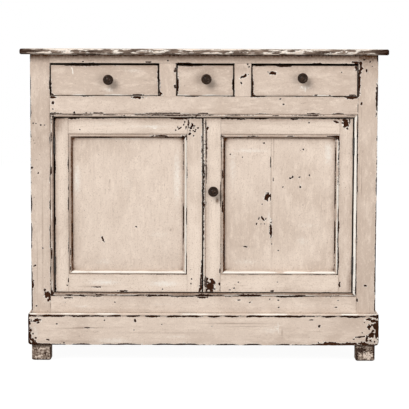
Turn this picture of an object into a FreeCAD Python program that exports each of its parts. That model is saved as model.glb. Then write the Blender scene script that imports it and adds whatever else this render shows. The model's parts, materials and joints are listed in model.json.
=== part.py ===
import FreeCAD
import Part
import math
import os

from FreeCAD import Vector

# Painted farmhouse buffet: three drawers over a two-door cupboard, on a plinth.
# Millimetres. X runs to the viewer's right, Y to the back, Z up.
# The origin is on the floor, under the middle of the top.

# Top
TOP_WIDTH = 1200.0
TOP_DEPTH = 480.0
TOP_THICK = 19.0
TOP_PLANKS = 3
TOP_EDGE_RADIUS = 6.0
OVERALL_HEIGHT = 1030.0
SIDE_OVERHANG = 32.0
FRONT_OVERHANG = 30.0
REAR_OVERHANG = 10.0

# Posts, whose lower ends are the feet
POST_WIDTH = 64.0
REAR_POST_WIDTH = 46.0
POST_DEPTH = 46.0
FOOT_RADIUS = 7.0

# Front rails and drawer dividers
RAIL_THICK = 27.0
TOP_RAIL_HEIGHT = 28.0
DRAWER_OPENING_HEIGHT = 107.0
DRAWER_RAIL_HEIGHT = 58.0
BOTTOM_RAIL_SHOW = 55.0
BOTTOM_RAIL_HIDDEN = 91.0
DIVIDER_WIDTH = 55.0
CENTRE_OPENING_WIDTH = 190.0
CENTRE_OPENING_SHIFT = 4.0
TENON_LENGTH = 28.0
TENON_THICK = 9.0
TENON_SHOULDER = 6.0
DIVIDER_TENON = 9.0

# Plinth
PLINTH_CLEARANCE = 55.0
PLINTH_HEIGHT = 106.0
PLINTH_THICK = 11.0
PLINTH_RADIUS = 7.0

# Sides and back
SIDE_RAIL_THICK = 24.0
SIDE_RAIL_HEIGHT = 60.0
SIDE_PANEL_THICK = 10.0
GROOVE_DEPTH = 9.0
PANEL_PLAY = 1.0
BACK_RAIL_THICK = 24.0
BACK_RAIL_HEIGHT = 60.0
BACK_TENON_LENGTH = 18.0
BACK_BOARD_THICK = 10.0
BACK_BOARDS = 6
BACK_LAP = 8.0

# Cupboard floor and shelf
FLOOR_DROP = 11.0
FLOOR_THICK = 18.0
SHELF_HEIGHT = 500.0
SHELF_THICK = 18.0
SHELF_SETBACK = 90.0
CLEAT_WIDTH = 24.0
CLEAT_HEIGHT = 22.0

# Runners, kickers and stops
RUNNER_THICK = 22.0
RUNNER_BEARING = 38.0
GUIDE_HEIGHT = 22.0
DRAWER_STOP_WIDTH = 30.0
DRAWER_STOP_DEPTH = 14.0
DRAWER_STOP_HEIGHT = 6.0
DRAWER_STOP_INSET = 60.0
DOOR_STOP_WIDTH = 50.0
DOOR_STOP_DEPTH = 22.0
DOOR_STOP_HEIGHT = 36.0
DOOR_STOP_LAP = 10.0
DOOR_STOP_FROM_MIDDLE = 120.0
STOP_CLEARANCE = 0.3

# Round bead planted round the door opening
BEAD_WIDTH = 11.0
BEAD_QUIRK_WIDTH = 2.0
BEAD_QUIRK_DEPTH = 2.0

# Doors
DOOR_THICK = 24.0
DOOR_GAP = 3.0
HINGE_GAP = 5.0
MEETING_GAP = 4.0
MEETING_LINE = -3.0
HINGE_STILE_WIDTH = 44.0
LEFT_MEETING_STILE_WIDTH = 50.0
RIGHT_MEETING_STILE_WIDTH = 57.0
DOOR_TOP_RAIL_HEIGHT = 52.0
DOOR_BOTTOM_RAIL_HEIGHT = 58.0
DOOR_TENON_LENGTH = 30.0
DOOR_TENON_THICK = 8.0
DOOR_TENON_SHOULDER = 10.0
DOOR_PANEL_THICK = 10.0
DOOR_PANEL_RECESS = 9.0
DOOR_GROOVE_DEPTH = 8.0
MEETING_BEAD = 6.0
MEETING_QUIRK = 2.5
MOULDING_WIDTH = 14.0
MOULDING_QUIRK = 2.5
MOULDING_BEAD = 7.5

# Butt hinges
HINGE_LENGTH = 54.0
HINGE_FROM_DOOR_END = 90.0
HINGE_LEAF_DEPTH = 20.0
HINGE_LEAF_THICK = 1.5
HINGE_AXIS_PROUD = 3.2
BARREL_CLEARANCE = 0.1
KNUCKLE_CLEARANCE = 0.2
SWEEP_CLEARANCE = 0.3
PIN_RADIUS = 1.2
PIN_HEAD_RADIUS = 2.0
PIN_HEAD_HEIGHT = 2.0
SCREW_RADIUS = 1.3
SCREW_HEAD_RADIUS = 2.6
SCREW_LENGTH = 18.0
SCREW_PITCH = 17.0
FIT_CLEARANCE = 0.05

# Turned knobs
KNOB_RADIUS = 17.0
KNOB_PROJECTION = 27.0
KNOB_FOOT_RADIUS = 10.0
KNOB_FOOT_THICK = 2.5
KNOB_NECK_RADIUS = 6.0
KNOB_RIM_THICK = 8.0
KNOB_DISH_RADIUS = 12.5
KNOB_DISH_DEPTH = 2.5
KNOB_BUTTON_RADIUS = 6.0
KNOB_SHANK_RADIUS = 3.2
KNOB_SHANK_LENGTH = 16.0
LEFT_KNOB_SHIFT = 13.0
CENTRE_KNOB_SHIFT = 3.5
RIGHT_KNOB_SHIFT = -8.5
LEFT_KNOB_RISE = 2.0
CENTRE_KNOB_RISE = 4.8
RIGHT_KNOB_RISE = 9.0
DOOR_KNOB_FROM_EDGE = 32.0
DOOR_KNOB_HEIGHT = 565.0

# Turning latch behind the door knob
SPINDLE_RADIUS = 4.0
LATCH_LENGTH = 56.0
LATCH_WIDTH = 18.0
LATCH_THICK = 5.0
LATCH_CLEARANCE = 1.5
LATCH_BOSS_RADIUS = 8.0
SPINDLE_END = 3.0

# Sliding bolts on the back of the left door
BOLT_RADIUS = 3.5
BOLT_LENGTH = 82.0
BOLT_TRAVEL = 20.0
BOLT_FROM_DOOR_END = 2.0
BOLT_FROM_EDGE = 25.0
BOLT_HANDLE_RADIUS = 3.0
BOLT_HANDLE_LENGTH = 10.0
BOLT_PLATE_WIDTH = 24.0
BOLT_PLATE_THICK = 2.0
BOLT_LOOP_WIDTH = 14.0
BOLT_LOOP_HEIGHT = 9.0
BOLT_LOOP_FROM_END = 9.0
BOLT_LOOP_WALL = 1.6
BOLT_RUNNING_CLEARANCE = 0.2

# Drawers
DRAWER_SIDE_GAP = 4.0
DRAWER_TOP_GAP = 7.0
DRAWER_BOTTOM_GAP = 2.0
DRAWER_RUNNING_CLEARANCE = 0.3
DRAWER_REAR_CLEARANCE = 21.0
DRAWER_FRONT_THICK = 20.0
DRAWER_FRONT_LAP = 6.0
DRAWER_SIDE_THICK = 11.0
DRAWER_SIDE_DROP = 5.0
DRAWER_BACK_THICK = 11.0
DRAWER_BACK_INSET = 14.0
DRAWER_BACK_DROP = 4.0
DRAWER_HOUSING_DEPTH = 4.0
DRAWER_BOTTOM_THICK = 7.0
DRAWER_BOTTOM_RAISE = 9.0
DRAWER_BOTTOM_GROOVE = 5.0
TAIL_PITCH = 32.0
TAIL_WIDE = 24.0
TAIL_NARROW = 17.0

# Places worked out from the sizes above
HALF_WIDTH = TOP_WIDTH / 2 - SIDE_OVERHANG
POST_INNER = HALF_WIDTH - POST_WIDTH
REAR_POST_INNER = HALF_WIDTH - REAR_POST_WIDTH
FRONT_Y = -TOP_DEPTH / 2 + FRONT_OVERHANG
BACK_Y = TOP_DEPTH / 2 - REAR_OVERHANG
RAIL_BACK = FRONT_Y + RAIL_THICK
POST_BACK = FRONT_Y + POST_DEPTH
REAR_POST_FRONT = BACK_Y - POST_DEPTH
BACK_RAIL_REAR = BACK_Y - BACK_BOARD_THICK
BACK_RAIL_FRONT = BACK_RAIL_REAR - BACK_RAIL_THICK
SIDE_RAIL_INNER = HALF_WIDTH - SIDE_RAIL_THICK
SIDE_PANEL_MIDDLE = HALF_WIDTH - SIDE_RAIL_THICK / 2
SIDE_PANEL_INNER = SIDE_PANEL_MIDDLE - SIDE_PANEL_THICK / 2

UNDER_TOP = OVERALL_HEIGHT - TOP_THICK
DRAWER_CEILING = UNDER_TOP - TOP_RAIL_HEIGHT
DRAWER_SILL = DRAWER_CEILING - DRAWER_OPENING_HEIGHT
DOOR_LINTEL = DRAWER_SILL - DRAWER_RAIL_HEIGHT
PLINTH_TOP = PLINTH_CLEARANCE + PLINTH_HEIGHT
DOOR_SILL = PLINTH_TOP + BOTTOM_RAIL_SHOW
BOTTOM_RAIL_LOW = PLINTH_TOP - BOTTOM_RAIL_HIDDEN
FLOOR_TOP = DOOR_SILL - FLOOR_DROP
RUNNER_TOP = DRAWER_SILL + DRAWER_BOTTOM_GAP - DRAWER_RUNNING_CLEARANCE
DRAWER_REAR = BACK_RAIL_FRONT - DRAWER_REAR_CLEARANCE

LEFT_DIVIDER = CENTRE_OPENING_SHIFT - (CENTRE_OPENING_WIDTH + DIVIDER_WIDTH) / 2
RIGHT_DIVIDER = CENTRE_OPENING_SHIFT + (CENTRE_OPENING_WIDTH + DIVIDER_WIDTH) / 2

DOOR_BACK = RAIL_BACK - STOP_CLEARANCE
DOOR_FRONT = DOOR_BACK - DOOR_THICK
DOOR_PANEL_FRONT = DOOR_FRONT + DOOR_PANEL_RECESS
DOOR_LOW = DOOR_SILL + BEAD_WIDTH + DOOR_GAP
DOOR_HIGH = DOOR_LINTEL - BEAD_WIDTH - DOOR_GAP
DOOR_HINGE_EDGE = POST_INNER - BEAD_WIDTH - HINGE_GAP
LEFT_MEETING_EDGE = MEETING_LINE - MEETING_GAP / 2
RIGHT_MEETING_EDGE = MEETING_LINE + MEETING_GAP / 2
HINGE_AXIS_X = POST_INNER - BEAD_WIDTH - HINGE_GAP / 2
HINGE_AXIS_Y = DOOR_FRONT - HINGE_AXIS_PROUD
DOOR_KNOB_X = RIGHT_MEETING_EDGE + DOOR_KNOB_FROM_EDGE
BOLT_X = LEFT_MEETING_EDGE - BOLT_FROM_EDGE
BOLT_LOOP_DEPTH = 2 * (BOLT_RADIUS + BOLT_LOOP_WALL)
BOLT_LOOP_SPACING = BOLT_LOOP_HEIGHT + BOLT_TRAVEL + 2 * (BOLT_HANDLE_RADIUS + BOLT_RUNNING_CLEARANCE)
BOLT_Y = DOOR_BACK + BOLT_PLATE_THICK + BOLT_LOOP_DEPTH / 2

SIDES = {"left": -1, "right": 1}


def box(x, y, z):
    """A block between two values, in either order, on each axis."""
    low = Vector(min(x), min(y), min(z))
    return Part.makeBox(max(x) - low.x, max(y) - low.y, max(z) - low.z, low)


def rod(radius, start, end):
    """A round bar from one point to another."""
    return Part.makeCylinder(radius, (end - start).Length, start, end - start)


def line(start, end):
    return Part.LineSegment(start, end).toShape()


def arc(start, middle, end):
    return Part.Arc(start, middle, end).toShape()


def closed_face(edges):
    return Part.Face(Part.Wire(edges))


def prism(points, direction):
    """A flat outline of straight lines, pushed along a direction."""
    return Part.Face(Part.makePolygon(points + points[:1])).extrude(direction)


def cut_all(solid, tools):
    for tool in tools:
        solid = solid.cut(tool)
    return solid


def export(node, *solids):
    """Writes one node, after making sure that each of its solids is closed and whole."""
    for solid in solids:
        if len(solid.Solids) != 1 or not solid.isValid() or solid.Volume <= 0:
            raise ValueError(f"{node} isn't one closed solid")
    shape = solids[0].Solids[0] if len(solids) == 1 else Part.makeCompound([s.Solids[0] for s in solids])
    shape.exportStep(f"parts/{node}.step")
    print(f"{node}: {len(solids)} solid(s), {shape.Volume / 1000:.1f} cm3")


def top_planks():
    """Edge-glued planks with all outer edges worn round."""
    slab = box((-TOP_WIDTH / 2, TOP_WIDTH / 2), (-TOP_DEPTH / 2, TOP_DEPTH / 2), (UNDER_TOP, OVERALL_HEIGHT))
    slab = slab.makeFillet(min(TOP_EDGE_RADIUS, 0.45 * TOP_THICK), slab.Edges)
    plank_width = TOP_DEPTH / TOP_PLANKS
    planks = []
    for index in range(TOP_PLANKS):
        front = -TOP_DEPTH / 2 + index * plank_width
        span = box((-TOP_WIDTH, TOP_WIDTH), (front, front + plank_width), (UNDER_TOP, OVERALL_HEIGHT))
        planks.append(slab.common(span))
    return planks


def rail_across(x_end, front, thick, z, tenon_length):
    """A rail between a pair of posts, with a tenon at each end."""
    rail = box((-x_end, x_end), (front, front + thick), z)
    middle = front + thick / 2
    tenon_y = (middle - TENON_THICK / 2, middle + TENON_THICK / 2)
    tenon_z = (min(z) + TENON_SHOULDER, max(z) - TENON_SHOULDER)
    return rail.fuse(box((-x_end - tenon_length, x_end + tenon_length), tenon_y, tenon_z))


def front_rails():
    levels = {
        "front_top_rail": (DRAWER_CEILING, UNDER_TOP),
        "front_drawer_rail": (DOOR_LINTEL, DRAWER_SILL),
        "front_bottom_rail": (BOTTOM_RAIL_LOW, DOOR_SILL),
    }
    return {
        node: rail_across(POST_INNER, FRONT_Y, RAIL_THICK, z, TENON_LENGTH)
        for node, z in levels.items()
    }


def back_rails():
    levels = [
        (UNDER_TOP - BACK_RAIL_HEIGHT, UNDER_TOP),
        (DOOR_LINTEL, DRAWER_SILL),
        (BOTTOM_RAIL_LOW, DOOR_SILL),
    ]
    return [
        rail_across(REAR_POST_INNER, BACK_RAIL_FRONT, BACK_RAIL_THICK, z, BACK_TENON_LENGTH)
        for z in levels
    ]


def side_rails(side):
    """The upper and lower rail of one end, tenoned into the front and rear posts."""
    rails = []
    for z in ((UNDER_TOP - SIDE_RAIL_HEIGHT, UNDER_TOP), (BOTTOM_RAIL_LOW, DOOR_SILL)):
        rail = box((side * SIDE_RAIL_INNER, side * HALF_WIDTH), (POST_BACK, REAR_POST_FRONT), z)
        tenon = box(
            (side * (SIDE_PANEL_MIDDLE - TENON_THICK / 2), side * (SIDE_PANEL_MIDDLE + TENON_THICK / 2)),
            (POST_BACK - TENON_LENGTH, REAR_POST_FRONT + TENON_LENGTH),
            (min(z) + TENON_SHOULDER, max(z) - TENON_SHOULDER),
        )
        rails.append(rail.fuse(tenon))
    return rails


def side_panel(side, reach):
    """The end panel, reaching past the sight edges of its frame by the given amount."""
    return box(
        (side * SIDE_PANEL_INNER, side * (SIDE_PANEL_INNER + SIDE_PANEL_THICK)),
        (POST_BACK - reach, REAR_POST_FRONT + reach),
        (DOOR_SILL - reach, UNDER_TOP - SIDE_RAIL_HEIGHT + reach),
    )


def post(x, y):
    """A post from floor to top, with its foot worn round."""
    blank = box(x, y, (0, UNDER_TOP))
    foot_edges = [edge for edge in blank.Edges if edge.BoundBox.ZMax < 1e-6]
    return blank.makeFillet(FOOT_RADIUS, foot_edges)


def divider(middle):
    """An upright between two drawers, tenoned into the rails above and below."""
    x = (middle - DIVIDER_WIDTH / 2, middle + DIVIDER_WIDTH / 2)
    upright = box(x, (FRONT_Y, RAIL_BACK), (DRAWER_SILL, DRAWER_CEILING))
    rail_middle = FRONT_Y + RAIL_THICK / 2
    tenon = box(
        (x[0] + TENON_SHOULDER, x[1] - TENON_SHOULDER),
        (rail_middle - TENON_THICK / 2, rail_middle + TENON_THICK / 2),
        (DRAWER_SILL - DIVIDER_TENON, DRAWER_CEILING + DIVIDER_TENON),
    )
    return upright.fuse(tenon)


def back_boards():
    """Upright boards nailed over the back rails, each lapped half its thickness over the next."""
    width = 2 * REAR_POST_INNER / BACK_BOARDS
    half = (BACK_RAIL_REAR + BACK_Y) / 2
    height = (BOTTOM_RAIL_LOW, UNDER_TOP)
    boards = []
    for index in range(BACK_BOARDS):
        left = -REAR_POST_INNER + index * width
        right = left + width
        board = box((left, right), (BACK_RAIL_REAR, BACK_Y), height)
        if index > 0:
            board = board.cut(box((left, left + BACK_LAP), (half, BACK_Y), height))
        if index < BACK_BOARDS - 1:
            board = board.fuse(box((right, right + BACK_LAP), (half, BACK_Y), height))
        boards.append(board)
    return boards


def cupboard_floor():
    return box(
        (-SIDE_RAIL_INNER, SIDE_RAIL_INNER),
        (RAIL_BACK, BACK_RAIL_FRONT),
        (FLOOR_TOP - FLOOR_THICK, FLOOR_TOP),
    )


def shelf():
    return box(
        (-SIDE_PANEL_INNER, SIDE_PANEL_INNER),
        (FRONT_Y + SHELF_SETBACK, REAR_POST_FRONT),
        (SHELF_HEIGHT, SHELF_HEIGHT + SHELF_THICK),
    )


def cleats(inner, top):
    """A pair of strips, one at each end, under a board."""
    return [
        box(
            (side * inner, side * (inner - CLEAT_WIDTH)),
            (POST_BACK, REAR_POST_FRONT),
            (top - CLEAT_HEIGHT, top),
        )
        for side in SIDES.values()
    ]


def drawer_runners():
    """An L-shaped runner at each end, and a T-shaped one behind each divider."""
    base_z = (RUNNER_TOP - RUNNER_THICK, RUNNER_TOP)
    guide_z = (RUNNER_TOP - RUNNER_THICK, RUNNER_TOP + GUIDE_HEIGHT)
    length = (RAIL_BACK, BACK_RAIL_FRONT)
    runners = []
    for side in SIDES.values():
        base = box((side * (POST_INNER - RUNNER_BEARING), side * POST_INNER), length, base_z)
        guide = box((side * POST_INNER, side * SIDE_RAIL_INNER), (POST_BACK, REAR_POST_FRONT), guide_z)
        runners.append(base.fuse(guide))
    for middle in (LEFT_DIVIDER, RIGHT_DIVIDER):
        reach = DIVIDER_WIDTH / 2 + RUNNER_BEARING
        base = box((middle - reach, middle + reach), length, base_z)
        guide = box((middle - DIVIDER_WIDTH / 2, middle + DIVIDER_WIDTH / 2), length, guide_z)
        runners.append(base.fuse(guide))
    return [runner.removeSplitter() for runner in runners]


def drawer_kickers():
    """Strips over the drawer sides that keep an open drawer from tipping."""
    spans = [(side * (POST_INNER - RUNNER_BEARING), side * POST_INNER) for side in SIDES.values()]
    for middle in (LEFT_DIVIDER, RIGHT_DIVIDER):
        reach = DIVIDER_WIDTH / 2 + RUNNER_BEARING
        spans.append((middle - reach, middle + reach))
    return [box(x, (RAIL_BACK, BACK_RAIL_FRONT), (DRAWER_CEILING, UNDER_TOP)) for x in spans]


def drawer_openings():
    return {
        "left_drawer": (-POST_INNER, LEFT_DIVIDER - DIVIDER_WIDTH / 2, LEFT_KNOB_SHIFT, LEFT_KNOB_RISE),
        "centre_drawer": (
            LEFT_DIVIDER + DIVIDER_WIDTH / 2,
            RIGHT_DIVIDER - DIVIDER_WIDTH / 2,
            CENTRE_KNOB_SHIFT,
            CENTRE_KNOB_RISE,
        ),
        "right_drawer": (RIGHT_DIVIDER + DIVIDER_WIDTH / 2, POST_INNER, RIGHT_KNOB_SHIFT, RIGHT_KNOB_RISE),
    }


def drawer_stops():
    """Small blocks on the drawer rail that a shut drawer front comes up against."""
    front = FRONT_Y + DRAWER_FRONT_THICK + STOP_CLEARANCE
    stops = []
    for left, right, *_ in drawer_openings().values():
        for middle in (left + DRAWER_STOP_INSET, right - DRAWER_STOP_INSET):
            stops.append(
                box(
                    (middle - DRAWER_STOP_WIDTH / 2, middle + DRAWER_STOP_WIDTH / 2),
                    (front, front + DRAWER_STOP_DEPTH),
                    (DRAWER_SILL, DRAWER_SILL + DRAWER_STOP_HEIGHT),
                )
            )
    return stops


def door_stops():
    """Blocks behind the top and bottom edge of each door."""
    stops = []
    for side in SIDES.values():
        middle = MEETING_LINE + side * DOOR_STOP_FROM_MIDDLE
        x = (middle - DOOR_STOP_WIDTH / 2, middle + DOOR_STOP_WIDTH / 2)
        y = (RAIL_BACK, RAIL_BACK + DOOR_STOP_DEPTH)
        top_low = DOOR_HIGH - DOOR_STOP_LAP
        stops.append(box(x, y, (top_low, top_low + DOOR_STOP_HEIGHT)))
        stops.append(box(x, y, (FLOOR_TOP, DOOR_LOW + DOOR_STOP_LAP)))
    return stops


def rounded_board(x, y, z, is_rounded):
    """A board whose chosen edges are rounded to the plinth's radius, or less if it is thin."""
    board = box(x, y, z)
    edges = [edge for edge in board.Edges if is_rounded(edge.BoundBox)]
    return board.makeFillet(min(PLINTH_RADIUS, 0.9 * PLINTH_THICK), edges)


def plinth_front():
    back = FRONT_Y - 1e-3
    return rounded_board(
        (-HALF_WIDTH - PLINTH_THICK, HALF_WIDTH + PLINTH_THICK),
        (FRONT_Y - PLINTH_THICK, FRONT_Y),
        (PLINTH_CLEARANCE, PLINTH_TOP),
        lambda bounds: bounds.ZMin > PLINTH_TOP - 1e-3 and bounds.YMin < back,
    )


def plinth_return(side):
    outer = side * (HALF_WIDTH + PLINTH_THICK)
    return rounded_board(
        (side * HALF_WIDTH, outer),
        (FRONT_Y, BACK_Y),
        (PLINTH_CLEARANCE, PLINTH_TOP),
        lambda bounds: bounds.ZMin > PLINTH_TOP - 1e-3 and abs(bounds.Center.x - outer) < 1e-3,
    )


def bead_edges(place, quirk, width, quirk_floor, back):
    """Outline of a strip with a narrow quirk and then a half-round bead; place maps (u, y) to space."""
    radius = (width - quirk) / 2
    crown = place(quirk + radius, quirk_floor - radius)
    return [
        line(place(0, back), place(0, quirk_floor)),
        line(place(0, quirk_floor), place(quirk, quirk_floor)),
        arc(place(quirk, quirk_floor), crown, place(width, quirk_floor)),
    ]


def surround_outline(place):
    quirk_floor = FRONT_Y + BEAD_QUIRK_DEPTH
    edges = bead_edges(place, BEAD_QUIRK_WIDTH, BEAD_WIDTH, quirk_floor, RAIL_BACK)
    edges.append(line(place(BEAD_WIDTH, quirk_floor), place(BEAD_WIDTH, RAIL_BACK)))
    edges.append(line(place(BEAD_WIDTH, RAIL_BACK), place(0, RAIL_BACK)))
    return closed_face(edges)


def moulding_outline(place):
    """Quirk, half-round bead and a splay down to the panel."""
    quirk_floor = DOOR_FRONT + MOULDING_QUIRK
    bead_end = MOULDING_QUIRK + MOULDING_BEAD
    edges = bead_edges(place, MOULDING_QUIRK, bead_end, quirk_floor, DOOR_PANEL_FRONT)
    edges.append(line(place(bead_end, quirk_floor), place(MOULDING_WIDTH, DOOR_PANEL_FRONT)))
    edges.append(line(place(MOULDING_WIDTH, DOOR_PANEL_FRONT), place(0, DOOR_PANEL_FRONT)))
    return closed_face(edges)


def mitred_frame(x, z, width, outline):
    """Four strips inside an upright rectangle, mitred at its corners."""
    (left, right), (low, high) = x, z
    inner_left, inner_right = left + width, right - width
    inner_low, inner_high = low + width, high - width
    along_z = Vector(0, 0, high - low)
    along_x = Vector(right - left, 0, 0)
    strips = [
        (lambda u, y: Vector(left + u, y, low), along_z,
         [(left, low), (inner_left, inner_low), (inner_left, inner_high), (left, high)]),
        (lambda u, y: Vector(right - u, y, low), along_z,
         [(right, low), (inner_right, inner_low), (inner_right, inner_high), (right, high)]),
        (lambda u, y: Vector(left, y, low + u), along_x,
         [(left, low), (inner_left, inner_low), (inner_right, inner_low), (right, low)]),
        (lambda u, y: Vector(left, y, high - u), along_x,
         [(left, high), (inner_left, inner_high), (inner_right, inner_high), (right, high)]),
    ]
    depth = Vector(0, TOP_DEPTH, 0)
    pieces = []
    for place, run, corners in strips:
        mitre = prism([Vector(cx, -TOP_DEPTH, cz) for cx, cz in corners], 2 * depth)
        pieces.append(outline(place).extrude(run).common(mitre))
    return pieces


def hinge_heights():
    return (DOOR_LOW + HINGE_FROM_DOOR_END, DOOR_HIGH - HINGE_FROM_DOOR_END)


def screw(point, direction, clearance):
    """A countersunk screw with its flat head at a point, or the hole for it."""
    radius = SCREW_RADIUS + clearance
    head_radius = SCREW_HEAD_RADIUS + clearance
    head = Part.makeCone(head_radius, radius, HINGE_LEAF_THICK, point, direction)
    shank = Part.makeCylinder(radius, SCREW_LENGTH + clearance, point, direction)
    return head.fuse(shank)


def hinge_screws(side, on_post, clearance=0.0):
    """All screws of one side's two hinges, driven towards the post or into the door."""
    surface = POST_INNER - BEAD_WIDTH - HINGE_LEAF_THICK if on_post else DOOR_HINGE_EDGE + HINGE_LEAF_THICK
    direction = Vector(side if on_post else -side, 0, 0)
    y = HINGE_AXIS_Y + 0.6 * HINGE_LEAF_DEPTH
    return [
        screw(Vector(side * surface, y, middle + step * SCREW_PITCH), direction, clearance)
        for middle in hinge_heights()
        for step in (-1, 0, 1)
    ]


def hinge_leaf(side, middle, on_post):
    """One leaf with its knuckles: the outer two on the post, the middle one on the door."""
    knuckle = HINGE_LENGTH / 3
    low, high = middle - HINGE_LENGTH / 2, middle + HINGE_LENGTH / 2
    outer = [(low, low + knuckle), (high - knuckle, high)]
    inner = [(low + knuckle + KNUCKLE_CLEARANCE, high - knuckle - KNUCKLE_CLEARANCE)]
    own, other = (outer, inner) if on_post else (inner, outer)
    seat = POST_INNER - BEAD_WIDTH if on_post else DOOR_HINGE_EDGE
    face = seat - HINGE_LEAF_THICK if on_post else seat + HINGE_LEAF_THICK
    axis = Vector(side * HINGE_AXIS_X, HINGE_AXIS_Y, 0)
    barrel = HINGE_GAP / 2 - BARREL_CLEARANCE
    leaf = box(
        (side * seat, side * face),
        (HINGE_AXIS_Y, HINGE_AXIS_Y + HINGE_LEAF_DEPTH),
        (low, high),
    )
    for start, end in other:
        room = rod(
            barrel + SWEEP_CLEARANCE,
            axis + Vector(0, 0, start - KNUCKLE_CLEARANCE),
            axis + Vector(0, 0, end + KNUCKLE_CLEARANCE),
        )
        leaf = leaf.cut(room)
    for start, end in own:
        leaf = leaf.fuse(rod(barrel, axis + Vector(0, 0, start), axis + Vector(0, 0, end)))
    bore = rod(PIN_RADIUS + FIT_CLEARANCE, axis + Vector(0, 0, low), axis + Vector(0, 0, high))
    return cut_all(leaf.cut(bore), hinge_screws(side, on_post, FIT_CLEARANCE))


def hinge_pin(side, middle):
    axis = Vector(side * HINGE_AXIS_X, HINGE_AXIS_Y, middle)
    half = Vector(0, 0, HINGE_LENGTH / 2)
    head = Vector(0, 0, PIN_HEAD_HEIGHT)
    pin = rod(PIN_RADIUS, axis - half, axis + half)
    pin = pin.fuse(rod(PIN_HEAD_RADIUS, axis + half, axis + half + head))
    return pin.fuse(rod(PIN_HEAD_RADIUS, axis - half - head, axis - half))


def door_sight(side):
    """The opening inside one door's frame, as spans on X and Z."""
    z = (DOOR_LOW + DOOR_BOTTOM_RAIL_HEIGHT, DOOR_HIGH - DOOR_TOP_RAIL_HEIGHT)
    hinge_side = side * (DOOR_HINGE_EDGE - HINGE_STILE_WIDTH)
    if side < 0:
        return (hinge_side, LEFT_MEETING_EDGE - LEFT_MEETING_STILE_WIDTH), z
    return (RIGHT_MEETING_EDGE + RIGHT_MEETING_STILE_WIDTH, hinge_side), z


def beaded_stile(edge, inner):
    """The right door's meeting stile, with a quirk and bead worked on its edge."""
    radius = MEETING_BEAD / 2
    floor = DOOR_FRONT + radius
    points = [
        (edge + MEETING_BEAD, floor),
        (edge + MEETING_BEAD + MEETING_QUIRK, floor),
        (edge + MEETING_BEAD + MEETING_QUIRK, DOOR_FRONT),
        (inner, DOOR_FRONT),
        (inner, DOOR_BACK),
        (edge, DOOR_BACK),
        (edge, floor),
    ]
    corners = [Vector(px, py, DOOR_LOW) for px, py in points]
    edges = [line(start, end) for start, end in zip(corners, corners[1:])]
    crown = Vector(edge + radius, DOOR_FRONT, DOOR_LOW)
    edges.append(arc(corners[-1], crown, corners[0]))
    return closed_face(edges).extrude(Vector(0, 0, DOOR_HIGH - DOOR_LOW))


def door_frame(side):
    """Stiles, rails, panel and panel moulding of one door, as a dictionary."""
    (left, right), (low, high) = door_sight(side)
    thick = (DOOR_FRONT, DOOR_BACK)
    panel_y = (DOOR_PANEL_FRONT, DOOR_PANEL_FRONT + DOOR_PANEL_THICK)
    middle = (DOOR_FRONT + DOOR_BACK) / 2
    tenon_y = (middle - DOOR_TENON_THICK / 2, middle + DOOR_TENON_THICK / 2)
    groove = box(
        (left - DOOR_GROOVE_DEPTH, right + DOOR_GROOVE_DEPTH),
        panel_y,
        (low - DOOR_GROOVE_DEPTH, high + DOOR_GROOVE_DEPTH),
    )
    rails = {}
    for node, z in {"top_rail": (high, DOOR_HIGH), "bottom_rail": (DOOR_LOW, low)}.items():
        tenon = box(
            (left - DOOR_TENON_LENGTH, right + DOOR_TENON_LENGTH),
            tenon_y,
            (z[0] + DOOR_TENON_SHOULDER, z[1] - DOOR_TENON_SHOULDER),
        )
        rails[node] = box((left, right), thick, z).fuse(tenon).cut(groove)

    hinge_inner = left if side < 0 else right
    hinge_stile = box((side * DOOR_HINGE_EDGE, hinge_inner), thick, (DOOR_LOW, DOOR_HIGH))
    hinge_stile = cut_all(hinge_stile, hinge_screws(side, False, FIT_CLEARANCE))
    if side < 0:
        meeting_stile = box((right, LEFT_MEETING_EDGE), thick, (DOOR_LOW, DOOR_HIGH))
    else:
        meeting_stile = beaded_stile(RIGHT_MEETING_EDGE, left)
        hole = rod(
            SPINDLE_RADIUS + FIT_CLEARANCE,
            Vector(DOOR_KNOB_X, DOOR_FRONT, DOOR_KNOB_HEIGHT),
            Vector(DOOR_KNOB_X, DOOR_BACK, DOOR_KNOB_HEIGHT),
        )
        meeting_stile = meeting_stile.cut(hole)

    joinery = [groove] + list(rails.values())
    reach = DOOR_GROOVE_DEPTH - PANEL_PLAY
    return {
        "hinge_stile": [cut_all(hinge_stile, joinery)],
        "meeting_stile": [cut_all(meeting_stile, joinery)],
        "top_rail": [rails["top_rail"]],
        "bottom_rail": [rails["bottom_rail"]],
        "panel": [box((left - reach, right + reach), panel_y, (low - reach, high + reach))],
        "panel_moulding": mitred_frame((left, right), (low, high), MOULDING_WIDTH, moulding_outline),
    }


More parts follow.
